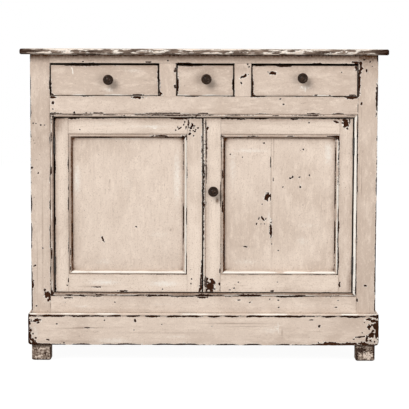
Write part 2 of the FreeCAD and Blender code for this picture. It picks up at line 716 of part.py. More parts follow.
def turned_knob(x, face, z, shank_radius, shank_length):
    """A turned knob on a face that looks to -Y: foot, neck, broad rim, dished front with a button."""
    front = face - KNOB_PROJECTION
    rim_back = front + KNOB_RIM_THICK
    rim_radius = KNOB_RIM_THICK / 2
    dish_floor = front + KNOB_DISH_DEPTH
    foot_front = face - KNOB_FOOT_THICK

    def at(radius, y):
        return Vector(x + radius, y, z)

    rim_inner = KNOB_RADIUS - rim_radius
    axis_back = at(0, face + shank_length)
    axis_front = at(0, front)
    neck_top = (rim_back + foot_front) / 2
    button_rise = KNOB_DISH_DEPTH / 2
    button_ball = (KNOB_BUTTON_RADIUS ** 2 + button_rise ** 2) / (2 * button_rise)
    button_drop = math.sqrt(button_ball ** 2 - (KNOB_BUTTON_RADIUS / 2) ** 2)
    edges = [
        line(axis_back, at(shank_radius, face + shank_length)),
        line(at(shank_radius, face + shank_length), at(shank_radius, face)),
        line(at(shank_radius, face), at(KNOB_FOOT_RADIUS, face)),
        line(at(KNOB_FOOT_RADIUS, face), at(KNOB_FOOT_RADIUS, foot_front)),
        line(at(KNOB_FOOT_RADIUS, foot_front), at(KNOB_NECK_RADIUS, neck_top)),
        line(at(KNOB_NECK_RADIUS, neck_top), at(rim_inner, rim_back)),
        arc(at(rim_inner, rim_back), at(KNOB_RADIUS, front + rim_radius), at(rim_inner, front)),
        line(at(rim_inner, front), at(KNOB_DISH_RADIUS, front)),
        arc(
            at(KNOB_DISH_RADIUS, front),
            at((KNOB_DISH_RADIUS + KNOB_BUTTON_RADIUS) / 2, dish_floor),
            at(KNOB_BUTTON_RADIUS, front + button_rise),
        ),
        arc(
            at(KNOB_BUTTON_RADIUS, front + button_rise),
            at(KNOB_BUTTON_RADIUS / 2, front + button_ball - button_drop),
            axis_front,
        ),
        line(axis_front, axis_back),
    ]
    return closed_face(edges).revolve(Vector(x, 0, z), Vector(0, 1, 0), 360)


def door_knob():
    spindle = DOOR_BACK - DOOR_FRONT + LATCH_CLEARANCE + LATCH_THICK + SPINDLE_END
    return turned_knob(DOOR_KNOB_X, DOOR_FRONT - STOP_CLEARANCE, DOOR_KNOB_HEIGHT,
                       SPINDLE_RADIUS, spindle + STOP_CLEARANCE)


def door_latch():
    """A bar on the spindle that hangs down, and turns level to pass behind the left door."""
    near = DOOR_BACK + LATCH_CLEARANCE
    bar = box(
        (DOOR_KNOB_X - LATCH_WIDTH / 2, DOOR_KNOB_X + LATCH_WIDTH / 2),
        (near, near + LATCH_THICK),
        (DOOR_KNOB_HEIGHT - LATCH_LENGTH, DOOR_KNOB_HEIGHT + LATCH_WIDTH / 2),
    )
    on_axis = Vector(DOOR_KNOB_X, 0, DOOR_KNOB_HEIGHT)
    boss_back = on_axis + Vector(0, near + LATCH_THICK, 0)
    boss = rod(LATCH_BOSS_RADIUS, on_axis + Vector(0, DOOR_BACK + STOP_CLEARANCE, 0), boss_back)
    bore = rod(SPINDLE_RADIUS + FIT_CLEARANCE, on_axis + Vector(0, DOOR_FRONT, 0), boss_back)
    return bar.fuse(boss).cut(bore)


def bolt_heights(end, direction):
    """Heights that belong to the bolt at one end of the left door; direction points past that end."""
    tip = end - direction * BOLT_FROM_DOOR_END
    outer_loop = end - direction * (BOLT_LOOP_FROM_END + BOLT_LOOP_HEIGHT / 2)
    inner_loop = outer_loop - direction * BOLT_LOOP_SPACING
    handle_room = BOLT_LOOP_HEIGHT / 2 + BOLT_HANDLE_RADIUS + BOLT_RUNNING_CLEARANCE
    return tip, outer_loop, inner_loop, inner_loop + direction * handle_room


def bolt_guide(end, direction):
    """A plate on the back of the stile with two loops for a bolt."""
    _, outer_loop, inner_loop, _ = bolt_heights(end, direction)
    reach = direction * BOLT_LOOP_HEIGHT
    plate_back = DOOR_BACK + BOLT_PLATE_THICK
    guide = box(
        (BOLT_X - BOLT_PLATE_WIDTH / 2, BOLT_X + BOLT_PLATE_WIDTH / 2),
        (DOOR_BACK, plate_back),
        (outer_loop + reach, inner_loop - reach),
    )
    for loop in (outer_loop, inner_loop):
        guide = guide.fuse(
            box(
                (BOLT_X - BOLT_LOOP_WIDTH / 2, BOLT_X + BOLT_LOOP_WIDTH / 2),
                (plate_back, plate_back + BOLT_LOOP_DEPTH),
                (loop - BOLT_LOOP_HEIGHT / 2, loop + BOLT_LOOP_HEIGHT / 2),
            )
        )
    return guide.cut(
        rod(
            BOLT_RADIUS + BOLT_RUNNING_CLEARANCE,
            Vector(BOLT_X, BOLT_Y, DOOR_LOW - BOLT_LENGTH),
            Vector(BOLT_X, BOLT_Y, DOOR_HIGH + BOLT_LENGTH),
        )
    )


def sliding_bolt(end, direction):
    tip, _, _, handle = bolt_heights(end, direction)
    bolt = rod(
        BOLT_RADIUS,
        Vector(BOLT_X, BOLT_Y, tip),
        Vector(BOLT_X, BOLT_Y, tip - direction * BOLT_LENGTH),
    )
    grip_end = BOLT_Y + BOLT_RADIUS + BOLT_HANDLE_LENGTH
    grip = rod(BOLT_HANDLE_RADIUS, Vector(BOLT_X, BOLT_Y, handle), Vector(BOLT_X, grip_end, handle))
    return bolt.fuse(grip)


def drawer_side(outer, inner, low, high):
    """A drawer side whose front end is cut into dovetails."""
    front_back = FRONT_Y + DRAWER_FRONT_THICK
    side = box((outer, inner), (front_back, DRAWER_REAR), (low, high))
    count = max(1, int((high - low) // TAIL_PITCH))
    pitch = (high - low) / count
    for index in range(count):
        middle = low + (index + 0.5) * pitch
        corners = [
            (front_back, middle - TAIL_NARROW / 2),
            (FRONT_Y + DRAWER_FRONT_LAP, middle - TAIL_WIDE / 2),
            (FRONT_Y + DRAWER_FRONT_LAP, middle + TAIL_WIDE / 2),
            (front_back, middle + TAIL_NARROW / 2),
        ]
        tail = prism([Vector(outer, y, z) for y, z in corners], Vector(inner - outer, 0, 0))
        side = side.fuse(tail)
    return side


def drawer(left_opening, right_opening, knob_shift, knob_rise):
    """Front, box walls, bottom and knob of one drawer."""
    left = left_opening + DRAWER_SIDE_GAP
    right = right_opening - DRAWER_SIDE_GAP
    low = DRAWER_SILL + DRAWER_BOTTOM_GAP
    high = DRAWER_CEILING - DRAWER_TOP_GAP
    side_high = high - DRAWER_SIDE_DROP
    front_back = FRONT_Y + DRAWER_FRONT_THICK
    left_inner = left + DRAWER_SIDE_THICK
    right_inner = right - DRAWER_SIDE_THICK
    bottom_low = low + DRAWER_BOTTOM_RAISE
    bottom_high = bottom_low + DRAWER_BOTTOM_THICK

    bottom = box(
        (left_inner - DRAWER_BOTTOM_GROOVE, right_inner + DRAWER_BOTTOM_GROOVE),
        (front_back - DRAWER_BOTTOM_GROOVE, DRAWER_REAR),
        (bottom_low, bottom_high),
    )
    back_front = DRAWER_REAR - DRAWER_BACK_INSET - DRAWER_BACK_THICK
    back = box(
        (left_inner - DRAWER_HOUSING_DEPTH, right_inner + DRAWER_HOUSING_DEPTH),
        (back_front, back_front + DRAWER_BACK_THICK),
        (bottom_high, side_high - DRAWER_BACK_DROP),
    )
    sides = [drawer_side(left, left_inner, low, side_high), drawer_side(right, right_inner, low, side_high)]
    knob_x = (left_opening + right_opening) / 2 + knob_shift
    knob_z = (low + high) / 2 + knob_rise
    knob = turned_knob(knob_x, FRONT_Y, knob_z, KNOB_SHANK_RADIUS, KNOB_SHANK_LENGTH)
    shank_hole = rod(
        KNOB_SHANK_RADIUS + FIT_CLEARANCE,
        Vector(knob_x, FRONT_Y, knob_z),
        Vector(knob_x, FRONT_Y + KNOB_SHANK_LENGTH + FIT_CLEARANCE, knob_z),
    )
    front = box((left, right), (FRONT_Y, front_back), (low, high))
    return {
        "front": [cut_all(front, sides + [bottom, shank_hole])],
        "walls": [cut_all(side, [bottom, back]) for side in sides] + [back],
        "bottom": [bottom],
        "knob": [knob],
    }


def carcass():
    """Every fixed piece, as a dictionary of node name to solids."""
    nodes = {}
    for name, plank in zip(("front", "middle", "rear"), top_planks()):
        nodes[f"top_plank_{name}"] = [plank]

    dividers = {"left": divider(LEFT_DIVIDER), "right": divider(RIGHT_DIVIDER)}
    rails = front_rails()
    rear_rails = back_rails()
    bead = mitred_frame((-POST_INNER, POST_INNER), (DOOR_SILL, DOOR_LINTEL), BEAD_WIDTH, surround_outline)
    screw_holes = [hole for side in SIDES.values() for hole in hinge_screws(side, True, FIT_CLEARANCE)]
    posts = {}
    nodes["side_rails"] = []
    for name, side in SIDES.items():
        groove = side_panel(side, GROOVE_DEPTH)
        ends = side_rails(side)
        front = post((side * POST_INNER, side * HALF_WIDTH), (FRONT_Y, POST_BACK))
        rear = post((side * REAR_POST_INNER, side * HALF_WIDTH), (REAR_POST_FRONT, BACK_Y))
        posts[f"front_post_{name}"] = cut_all(front, [groove] + ends + list(rails.values()) + screw_holes)
        posts[f"rear_post_{name}"] = cut_all(rear, [groove] + ends + rear_rails)
        nodes["side_rails"] += [rail.cut(groove) for rail in ends]
        nodes[f"side_panel_{name}"] = [side_panel(side, GROOVE_DEPTH - PANEL_PLAY)]
        nodes[f"drawer_divider_{name}"] = [dividers[name]]
    nodes.update({name: [solid] for name, solid in posts.items()})
    nodes.update({name: [cut_all(rail, dividers.values())] for name, rail in rails.items()})
    nodes["back_rails"] = rear_rails
    nodes["back_boards"] = back_boards()
    nodes["cupboard_floor"] = [cut_all(cupboard_floor(), posts.values())]
    nodes["shelf"] = [shelf()]
    nodes["cleats"] = cleats(SIDE_RAIL_INNER, FLOOR_TOP - FLOOR_THICK)
    nodes["cleats"] += cleats(SIDE_PANEL_INNER, SHELF_HEIGHT)
    nodes["drawer_runners"] = drawer_runners()
    nodes["drawer_kickers"] = drawer_kickers()
    nodes["stop_blocks"] = drawer_stops() + door_stops()
    nodes["door_surround_bead"] = [cut_all(strip, screw_holes) for strip in bead]
    nodes["plinth_front"] = [plinth_front()]
    nodes["plinth_returns"] = [plinth_return(side) for side in SIDES.values()]
    return nodes


def hinges():
    """Hinge parts on the posts and on each door."""
    nodes = {"hinge_post_leaves": [], "hinge_pins": [], "hinge_post_screws": []}
    for name, side in SIDES.items():
        for middle in hinge_heights():
            nodes["hinge_post_leaves"].append(hinge_leaf(side, middle, True))
            nodes["hinge_pins"].append(hinge_pin(side, middle))
        nodes["hinge_post_screws"] += hinge_screws(side, True)
        leaves = [hinge_leaf(side, middle, False) for middle in hinge_heights()]
        nodes[f"{name}_door_hinges"] = leaves + hinge_screws(side, False)
    return nodes


def build():
    os.makedirs("parts", exist_ok=True)
    nodes = carcass()
    nodes.update(hinges())
    for name, side in SIDES.items():
        for piece, solids in door_frame(side).items():
            nodes[f"{name}_door_{piece}"] = solids
    nodes["door_knob"] = [door_knob()]
    nodes["door_latch"] = [door_latch()]
    bolt_ends = {"top_bolt": (DOOR_HIGH, 1), "bottom_bolt": (DOOR_LOW, -1)}
    nodes["bolt_guides"] = [bolt_guide(end, direction) for end, direction in bolt_ends.values()]
    for name, (end, direction) in bolt_ends.items():
        nodes[name] = [sliding_bolt(end, direction)]
    for name, opening in drawer_openings().items():
        for piece, solids in drawer(*opening).items():
            nodes[f"{name}_{piece}"] = solids
    for name, solids in nodes.items():
        export(name, *solids)
    print(f"{len(nodes)} nodes")


build()
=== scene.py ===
"""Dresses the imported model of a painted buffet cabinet: weathered timber, chipped paint and dark metal."""

import functools
import itertools
import json
import math
import zlib
from typing import NamedTuple

import bmesh
import bpy
import numpy as np
from bpy.props import FloatProperty, FloatVectorProperty, PointerProperty
from mathutils import Matrix, Vector

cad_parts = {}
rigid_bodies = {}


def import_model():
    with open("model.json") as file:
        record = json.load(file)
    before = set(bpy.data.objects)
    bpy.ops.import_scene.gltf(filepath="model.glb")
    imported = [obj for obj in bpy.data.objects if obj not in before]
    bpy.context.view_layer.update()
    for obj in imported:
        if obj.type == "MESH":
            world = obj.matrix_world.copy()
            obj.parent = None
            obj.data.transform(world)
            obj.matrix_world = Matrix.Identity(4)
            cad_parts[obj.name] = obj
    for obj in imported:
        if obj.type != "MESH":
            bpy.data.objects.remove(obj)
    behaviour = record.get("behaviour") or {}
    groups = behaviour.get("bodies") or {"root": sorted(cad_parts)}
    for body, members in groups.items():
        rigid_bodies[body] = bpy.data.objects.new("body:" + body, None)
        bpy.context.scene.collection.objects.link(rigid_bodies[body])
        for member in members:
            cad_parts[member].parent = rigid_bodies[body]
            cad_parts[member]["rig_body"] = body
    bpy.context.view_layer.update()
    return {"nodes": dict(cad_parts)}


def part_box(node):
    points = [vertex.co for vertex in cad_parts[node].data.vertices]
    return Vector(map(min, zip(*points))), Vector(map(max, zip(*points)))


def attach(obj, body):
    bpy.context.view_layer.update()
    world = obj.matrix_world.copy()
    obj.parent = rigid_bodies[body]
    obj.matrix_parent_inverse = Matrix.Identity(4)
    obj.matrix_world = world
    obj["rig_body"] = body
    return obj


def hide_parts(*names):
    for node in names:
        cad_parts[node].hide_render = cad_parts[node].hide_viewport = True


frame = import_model()

bl_info = {
    "name": "Painted buffet cabinet",
    "version": (1, 0, 0),
    "blender": (4, 5, 0),
    "location": "View3D > Sidebar > Cabinet",
    "description": "Builds the weathered timber, paint and metalwork of a buffet cabinet",
    "category": "Object",
}

MM = 0.001
AXES = {"x": Vector((1, 0, 0)), "y": Vector((0, 1, 0)), "z": Vector((0, 0, 1))}

# Mesh tolerances, in metres and radians.
WELD = 1e-5
COPLANAR = math.radians(0.4)
SHARP_ARRIS = math.radians(60)
SHORTEST_ARRIS = 15 * MM
SMOOTH_LIMIT = math.radians(50)
MARK_CELL = 1.3 * MM
LOOPS_BY_EDGE = (2.5 * MM, 6 * MM)

# Places on the cabinet, in metres.
FRONT_POST_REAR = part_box("front_post_left")[1].y
REAR_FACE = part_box("rear_post_left")[1].y
PLINTH_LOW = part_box("plinth_front")[0].z
PLINTH_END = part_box("plinth_front")[1].x
PLINTH_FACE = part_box("plinth_front")[0].y
PLINTH_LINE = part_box("plinth_front")[1].z - 9.5 * MM
SIDE_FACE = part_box("side_rails")[1].x
TOP_LOW, TOP_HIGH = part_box("top_plank_front")[0].z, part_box("top_plank_front")[1].z
TOP_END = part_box("top_plank_front")[1].x
TOP_FRONT = -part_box("top_plank_front")[0].y
DOOR_LEFT, DOOR_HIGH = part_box("left_door_hinge_stile")[0].x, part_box("left_door_hinge_stile")[1].z
BEAD_WIDTH, MOULDING_WIDTH = 11 * MM, 14 * MM
FOOT_HEIGHT = PLINTH_LOW + 30 * MM
SIDE_REVEAL = 12 * MM
LEAST_PANEL, LEAST_BEAD = 0.3, 0.9
BACK_BOARDS = 6
BACK_GAP = 0.6 * MM
TONGUE_HALF = Vector((5 * MM, 1.2 * MM, 0))

# How far wear, dirt and painted shade reach, in metres.
FRONT_WEAR, BITE_REACH, SOIL_REACH = 9 * MM, 2.2 * MM, 7 * MM
FOOT_ROUND, PLINTH_ROUND = 8 * MM, 11 * MM
TOP_RIM, TOP_END_WEAR, TOP_CORNER = 7 * MM, 70 * MM, 50 * MM
TOP_SHADE, TOP_LINE = 27 * MM, 4 * MM
DRAWER_DUST_AND_SHADE, DRAWER_EDGE = 8 * MM, 4 * MM
BEAD_SHADE, BEAD_SIDE, BEAD_LINE = 11 * MM, 5 * MM, 3 * MM
PANEL_STAIN_AND_SHADE, PANEL_CORNER = 7 * MM, 11 * MM
PLINTH_KNOCK, PLINTH_FOOT = 14 * MM, 4 * MM
GROOVE_WIDTH, GROOVE_WAVE = 3.8 * MM, 3.0 * MM
RIDGE_ABOVE, RIDGE_WIDTH = 6.8 * MM, 2.4 * MM
CORNER_SHADE_REACH, METAL_HOLLOW = 12 * MM, 6 * MM

# Shine of paint and timber, strength and depth in metres of fine relief, and what sets boards apart.
SOFT_GLOSS, RELIEF = 0.05, 0.7
FOOT_RELIEF, TIMBER_RELIEF, METAL_RELIEF = 0.8 * MM, 0.5 * MM, 0.2 * MM
BOARD_SHIFT = (3.7, 11.3, 5.9)
CORNER_SAMPLES = 6

# The studio: where lamps stand and how wide they are, where they point, and the floor's greys.
LAMPS = {
    "key": ((-6.0, -8.4, 6.9), 6.4),
    "fill": ((3.4, -4.4, 1.2), 2.6),
    "rear": ((2.2, 3.8, 3.0), 2.4),
}
LAMP_TARGET = Vector((0, 0, 0.5))
SENSOR, CLIP_END = 36.0, 60.0
FLOOR_HALF, FLOOR_DROP = 9.0, 0.3 * MM
FLOOR_BOUNCE, FLOOR_SHADE, FLOOR_GLOW = 0.3, 0.14, 0.95
WHITE = (1, 1, 1, 1)


def srgb(red, green, blue):
    """A colour picked on screen, from 0 to 255, as the linear values that shaders take."""
    def linear(level):
        share = level / 255
        return share / 12.92 if share <= 0.04045 else ((share + 0.055) / 1.055) ** 2.4
    return tuple(linear(level) for level in (red, green, blue))


def colour(name, description, red, green, blue):
    return FloatVectorProperty(
        name=name, description=description, subtype="COLOR", size=3, min=0, max=1,
        default=srgb(red, green, blue),
    )


def number(name, description, default, **more):
    return FloatProperty(name=name, description=description, default=default, **more)


def length(name, description, millimetres):
    return number(name, description, millimetres * MM, unit="LENGTH", min=0)


class CabinetFinish(bpy.types.PropertyGroup):
    """Colours of the paint, the timber and the metal."""

    paint: colour("Cream paint", "Main colour of the brushed paint", 227, 208, 192)
    pale_paint: colour("Pale paint", "Thick and rubbed places in the paint", 253, 235, 218)
    warm_paint: colour("Warm paint", "Thin and stained places in the paint", 201, 180, 163)
    # Chalk also serves for the painted highlights on moulding crowns and the plinth's ridge, and for painted
    # light inside the right-hand bead.
    chalk_and_highlight: colour("Chalk", "Scraped paint and the rims of chips", 255, 249, 239)
    # Grime also serves for cracks, and for the painted shade in corners and gaps, under the top, on the door
    # frames and beside the mouldings.
    grime_and_shade: colour("Grime", "Dirt that gathers in corners", 98, 62, 35)
    # Dark wood also serves for the painted shade deep in gaps and hollows, and for bare wood darkened by
    # grime and painted shade.
    dark_wood_and_shade: colour("Dark wood", "Old timber where the paint has chipped", 41, 20, 9)
    brown_wood: colour("Brown wood", "Rubbed timber at broad worn places", 68, 40, 24)
    grey_wood: colour("Grey wood", "Weathered timber of the feet", 152, 134, 119)
    top_wood: colour("Top timber", "Light streaks of bare timber on the top", 172, 150, 134)
    top_dark: colour("Top timber grain", "Dark streaks of bare timber on the top", 50, 34, 26)
    raw_pale: colour("Raw timber", "Light part of the unpainted timber's grain", 196, 160, 120)
    raw_dark: colour("Raw timber grain", "Dark part of the unpainted timber's grain", 141, 103, 68)
    iron: colour("Iron", "Hinges, bolts, latch and screws", 46, 43, 41)
    bronze: colour("Bronze", "Turned knobs", 42, 29, 20)


class CabinetWear(bpy.types.PropertyGroup):
    """How far use and weather have shaped the timber."""

    undulation: length("Undulation", "How far hand-planed faces stray from flat", 0.35)
    chip_depth: length("Chip depth", "How deep a chip goes through the paint into the timber", 0.7)
    paint_coat: length("Paint coat", "Thickness of the old coats of paint", 0.5)
    top_bite: length("Top bites", "How deep wear has bitten into the edges of the top", 1.8)
    plinth_groove: length("Plinth groove", "Depth of the worn line under the plinth's upper edge", 1.4)


class CabinetStage(bpy.types.PropertyGroup):
    """Camera and light."""

    eye: FloatVectorProperty(
        name="Eye", description="Where the camera stands", subtype="TRANSLATION", size=3,
        default=(0.0025, -5.71, 1.040),
    )
    pitch: number("Pitch", "How far the camera looks down", math.radians(5.39), subtype="ANGLE")
    roll: number("Roll", "Slight lean of the camera", math.radians(0.17), subtype="ANGLE")
    lens: number("Lens", "Focal length on a 36 mm sensor, in millimetres", 148.0)
    key: number("Key lamp", "Power of the large lamp at upper left", 1020.0)
    fill: number("Fill lamp", "Power of the weak lamp at right", 75.0)
    rear: number("Rear lamp", "Power of the lamp behind the cabinet", 110.0)
    ambient: number("Ambient", "Even light from all round", 0.34)


class Timber(NamedTuple):
    """How one CAD board, or one set of like boards, is dressed."""

    node: str
    run: str  # axis along the grain and the brush strokes
    arris: str = ""  # axes of the edges that wear has softened
    softness: float = 1.0  # radius of those edges, mm
    eaten: float = 0.7  # deepest bite of wear into them, mm
    wear: float = 0.5  # how much paint is lost along them
    reach: float = 3.4  # how far from them paint is lost, mm
    soil: float = 0.2  # dirt along them
    grid: float = 8.0  # spacing of the mesh, mm
    mitred: bool = False  # strips that meet in mitres
    cuts: tuple = ()  # heights of further cuts, mm
    strewn: int = 0  # chips strewn over the cabinet's sides
    tint: float = 0.0  # paler paint above 0, darker below


TOP_TIMBERS = (
    Timber("top_plank_front", "x", grid=7),
    Timber("top_plank_middle", "x", grid=9),
    Timber("top_plank_rear", "x", grid=9),
)
FRAME_TIMBERS = (
    Timber("front_post_left", "z", "z", softness=1.4, eaten=1.6, wear=0.85, grid=7, tint=-0.3),
    Timber("front_post_right", "z", "z", softness=1.4, eaten=1.6, wear=0.95, grid=7, tint=-0.25),
    Timber("front_top_rail", "x", "x", wear=0.85, reach=3.2, grid=7),
    Timber("front_drawer_rail", "x", "x", wear=0.65, reach=3.2, grid=7, tint=0.1),
    Timber("front_bottom_rail", "x", "x", wear=0.8, grid=7, tint=0.3),
    Timber("drawer_divider_left", "z", "z", eaten=1.4, wear=0.9, reach=3.6, grid=6, tint=0.1),
    Timber("drawer_divider_right", "z", "z", eaten=1.4, wear=0.9, reach=3.6, grid=6, tint=0.1),
)
SIDE_TIMBERS = (
    Timber("rear_post_left", "z", "z", softness=1.4, eaten=1.2, wear=0.75, grid=12, strewn=9),
    Timber("rear_post_right", "z", "z", softness=1.4, eaten=1.2, wear=0.75, grid=12, strewn=9),
    Timber("side_rails", "y", "y", wear=0.7, grid=10, strewn=20),
    Timber("side_panel_left", "z", grid=12, strewn=30),
    Timber("side_panel_right", "z", grid=12, strewn=30),
)
PLINTH_TIMBERS = (
    Timber(
        "plinth_front", "x", "xz", softness=1.6, eaten=2.0, wear=1.2, reach=4.2, grid=7, tint=0.2,
        cuts=(146, 147.5, 149, 150.5, 152, 153.5, 156),
    ),
    Timber(
        "plinth_returns", "y", "yz", softness=1.6, eaten=2.4, wear=1.0, reach=4.6, grid=9,
        cuts=(147, 149, 151, 153, 155), strewn=10,
    ),
)
DOOR_TIMBERS = tuple(
    timber
    for side, meeting, hinge in (("left", 0.55, 0.8), ("right", 1.0, 0.45))
    for timber in (
        Timber(f"{side}_door_hinge_stile", "z", "xz", wear=0.8, reach=3.2, soil=0.3, grid=7, tint=hinge),
        Timber(f"{side}_door_meeting_stile", "z", "xz", wear=meeting, reach=2.6, grid=7, tint=0.95),
        Timber(f"{side}_door_top_rail", "x", "x", wear=0.8, reach=3.2, soil=0.3, grid=7, tint=1.0),
        Timber(f"{side}_door_bottom_rail", "x", "x", wear=0.6, reach=1.8, grid=7, tint=1.0),
        Timber(f"{side}_door_panel", "z", grid=8, tint=0.4),
    )
)
MOULDING_TIMBERS = (
    Timber("door_surround_bead", "x", grid=6, mitred=True),
    Timber("left_door_panel_moulding", "x", grid=6, mitred=True),
    Timber("right_door_panel_moulding", "x", grid=6, mitred=True),
)
# The drawer fronts' darker tints are partly paint tone and partly painted shade from the top above them.
DRAWER_TIMBERS = tuple(
    Timber(
        f"{place}_drawer_front", "x", "xz", softness=1.4, eaten=1.5, wear=0.8, reach=4.0, soil=0.25, grid=6,
        tint=tint,
    )
    for place, tint in (("left", -0.6), ("centre", -0.4), ("right", -0.35))
)
INSIDE_TIMBERS = (
    Timber("back_rails", "x", "x", grid=30),
    Timber("cupboard_floor", "x", "x", grid=30),
    Timber("shelf", "x", "x", grid=30),
    Timber("cleats", "y", "y", grid=40),
    Timber("drawer_runners", "y", "y", grid=40),
    Timber("drawer_kickers", "y", "y", grid=40),
    Timber("stop_blocks", "x", grid=40),
    Timber("left_drawer_bottom", "x", grid=30),
    Timber("centre_drawer_bottom", "x", grid=30),
    Timber("right_drawer_bottom", "x", grid=30),
)

# Chips through the paint, by piece: across, up, width and height in mm, and tilt in degrees if any.
CHIPS = {
    "front_post_left": (
        (-559, 786, 4, 4), (-550, 785, 5, 4), (-534, 781, 4, 4), (-521, 780, 4, 3), (-563, 640, 7, 7),
        (-543, 622, 5, 5), (-555, 317, 10, 5, 35), (-524, 236, 7, 7), (-513, 222, 22, 16),
        (-506, 213, 14, 28, 5), (-520, 212, 10, 8), (-512, 202, 8, 12), (-523, 220, 7, 3, 30),
        (-552, 182, 7, 5), (-562, 252, 5, 29), (-529, 375, 5, 7),
    ),
    "front_drawer_rail": (
        (-494, 852, 10, 9), (-494, 871, 25, 8), (-494, 833, 5, 7), (-424, 821, 5, 9), (-384, 820, 7, 5),
        (-347, 820, 39, 4), (-128, 820, 111, 4), (0, 820, 29, 4), (-218, 872, 33, 8), (249, 868, 9, 5),
        (260, 851, 7, 5), (484, 873, 39, 8), (356, 820, 29, 4), (441, 820, 23, 5), (503, 837, 2, 36),
    ),
    "drawer_divider_left": ((-143, 883, 10, 12), (-94, 961, 7, 16), (-94, 908, 7, 16)),
    "drawer_divider_right": (
        (131, 942, 21, 9, 28), (121, 919, 5, 10, 20), (142, 981, 5, 5), (146, 972, 7, 5),
    ),
    "front_top_rail": ((-395, 988, 8, 4), (-182, 987, 20, 4), (-118, 992, 5, 4), (496, 988, 29, 7)),
    "front_post_right": (
        (511, 984, 12, 16), (513, 967, 10, 12, 15), (508, 955, 9, 20), (541, 990, 4, 4), (548, 975, 4, 3),
        (514, 852, 7, 10), (533, 253, 10, 7), (521, 996, 7, 4), (530, 960, 5, 10), (506, 206, 8, 10),
        (564, 867, 6, 92),
    ),
    "left_drawer_front": ((-218, 880, 29, 5), (-497, 881, 13, 6)),
    "right_drawer_front": (
        (224, 952, 25, 10), (448, 955, 5, 4), (498, 972, 11, 23), (486, 881, 26, 5), (367, 881, 10, 4),
        (411, 880, 8, 4),
    ),
    "front_bottom_rail": (
        (-2, 213, 28, 5), (-457, 195, 5, 3), (-444, 210, 26, 4), (-292, 196, 5, 3), (116, 204, 11, 4),
        (154, 197, 11, 4, 20), (219, 208, 5, 4), (248, 204, 5, 4), (249, 180, 7, 4), (438, 181, 8, 4),
        (445, 204, 6, 3),
    ),
    "left_door_top_rail": (
        (-406, 766, 4, 4), (-92, 765, 7, 5, 20), (-86, 775, 5, 5), (-59, 774, 5, 10),
        (-80, 770, 16, 5, 35), (-63, 792, 5, 7), (-66, 782, 5, 5),
    ),
    "left_door_meeting_stile": (
        (-46, 754, 10, 8, 15), (-33, 747, 5, 6), (-9, 262, 7, 44), (-11, 240, 12, 14),
        (-38, 778, 8, 6, 25), (-30, 760, 6, 5), (-20, 772, 5, 5), (-50, 788, 5, 26),
        (-41, 772, 7, 9, -30), (-33, 772, 4, 6), (-37, 785, 6, 5), (-30, 779, 5, 5), (-45, 762, 5, 5),
        (-35, 763, 5, 4), (-27, 767, 5, 5), (-39, 274, 4, 5), (-42, 258, 4, 4),
    ),
    "left_door_hinge_stile": ((-446, 267, 4, 16), (-451, 252, 5, 4)),
    "left_door_bottom_rail": ((-351, 246, 26, 4), (-270, 233, 26, 5), (-135, 239, 4, 3)),
    "right_door_top_rail": (
        (122, 802, 20, 6), (297, 802, 23, 6), (344, 791, 6, 5), (434, 793, 18, 7, -10),
    ),
    "right_door_hinge_stile": (
        (466, 788, 18, 26, 10), (453, 790, 7, 8), (470, 771, 8, 8), (459, 801, 11, 10), (477, 799, 6, 14),
        (449, 256, 5, 20),
    ),
    "right_door_meeting_stile": (
        (6, 782, 7, 28), (12, 770, 6, 10), (9, 707, 5, 7), (22, 248, 32, 26), (31, 262, 18, 18, 12),
        (8, 264, 12, 32), (13, 240, 11, 9), (36, 240, 9, 7), (28, 271, 12, 8), (54, 257, 9, 11),
        (54, 301, 4, 20), (55, 238, 3, 15),
    ),
    "right_door_bottom_rail": (
        (88, 238, 8, 4), (101, 243, 5, 4), (115, 263, 4, 4), (244, 264, 5, 4), (226, 234, 13, 5),
    ),
    "right_door_panel": (
        (207, 545, 16, 24, -35), (220, 544, 3, 26), (192, 521, 4, 4), (182, 475, 4, 10, -20),
        (196, 472, 7, 21, 35), (205, 473, 4, 8, -20), (174, 456, 4, 9, -10), (189, 456, 3, 3),
        (201, 456, 3, 4), (222, 434, 8, 46), (140, 380, 12, 5, -12), (247, 368, 4, 4), (225, 390, 3, 6),
        (285, 607, 7, 6), (292, 611, 6, 8, -20), (314, 611, 6, 5), (347, 617, 4, 8), (318, 578, 7, 9),
        (260, 578, 4, 5), (228, 602, 3, 11), (219, 658, 3, 39), (126, 676, 4, 4), (87, 686, 4, 4),
        (197, 723, 6, 5), (326, 703, 7, 6),
    ),
    "left_door_panel": ((-332, 404, 6, 16, 30), (-223, 446, 8, 5, 20)),
    "plinth_front": (
        (-552, 136, 28, 11, 15), (-484, 125, 7, 5), (-327, 137, 6, 4), (-225, 135, 7, 11, 20),
        (-137, 124, 5, 4), (-229, 105, 4, 5), (-382, 112, 29, 3), (-514, 72, 13, 5, -12),
        (-460, 61, 7, 4), (-573, 126, 6, 9), (-571, 104, 8, 12, 15), (-563, 92, 6, 6), (-572, 84, 9, 15),
        (-564, 69, 17, 10, -25), (-558, 61, 14, 5), (-573, 62, 6, 10), (-554, 78, 6, 5),
        (-545, 129, 11, 6, 20), (28, 118, 4, 3), (383, 120, 8, 8), (355, 140, 16, 3),
        (424, 61, 70, 10, -4), (486, 60, 60, 9, 3), (546, 143, 22, 7, 12), (562, 137, 26, 10, -12),
        (570, 119, 22, 26), (556, 124, 9, 6, 20), (573, 94, 14, 30), (561, 104, 12, 8, 25),
        (519, 84, 36, 5, 6), (540, 78, 7, 25), (552, 72, 9, 5, 30), (526, 62, 34, 9), (556, 90, 16, 20),
        (548, 118, 14, 12, 10), (566, 68, 6, 8), (497, 76, 7, 4), (525, 97, 5, 3), (549, 110, 5, 4),
        (532, 132, 5, 3),
    ),
}

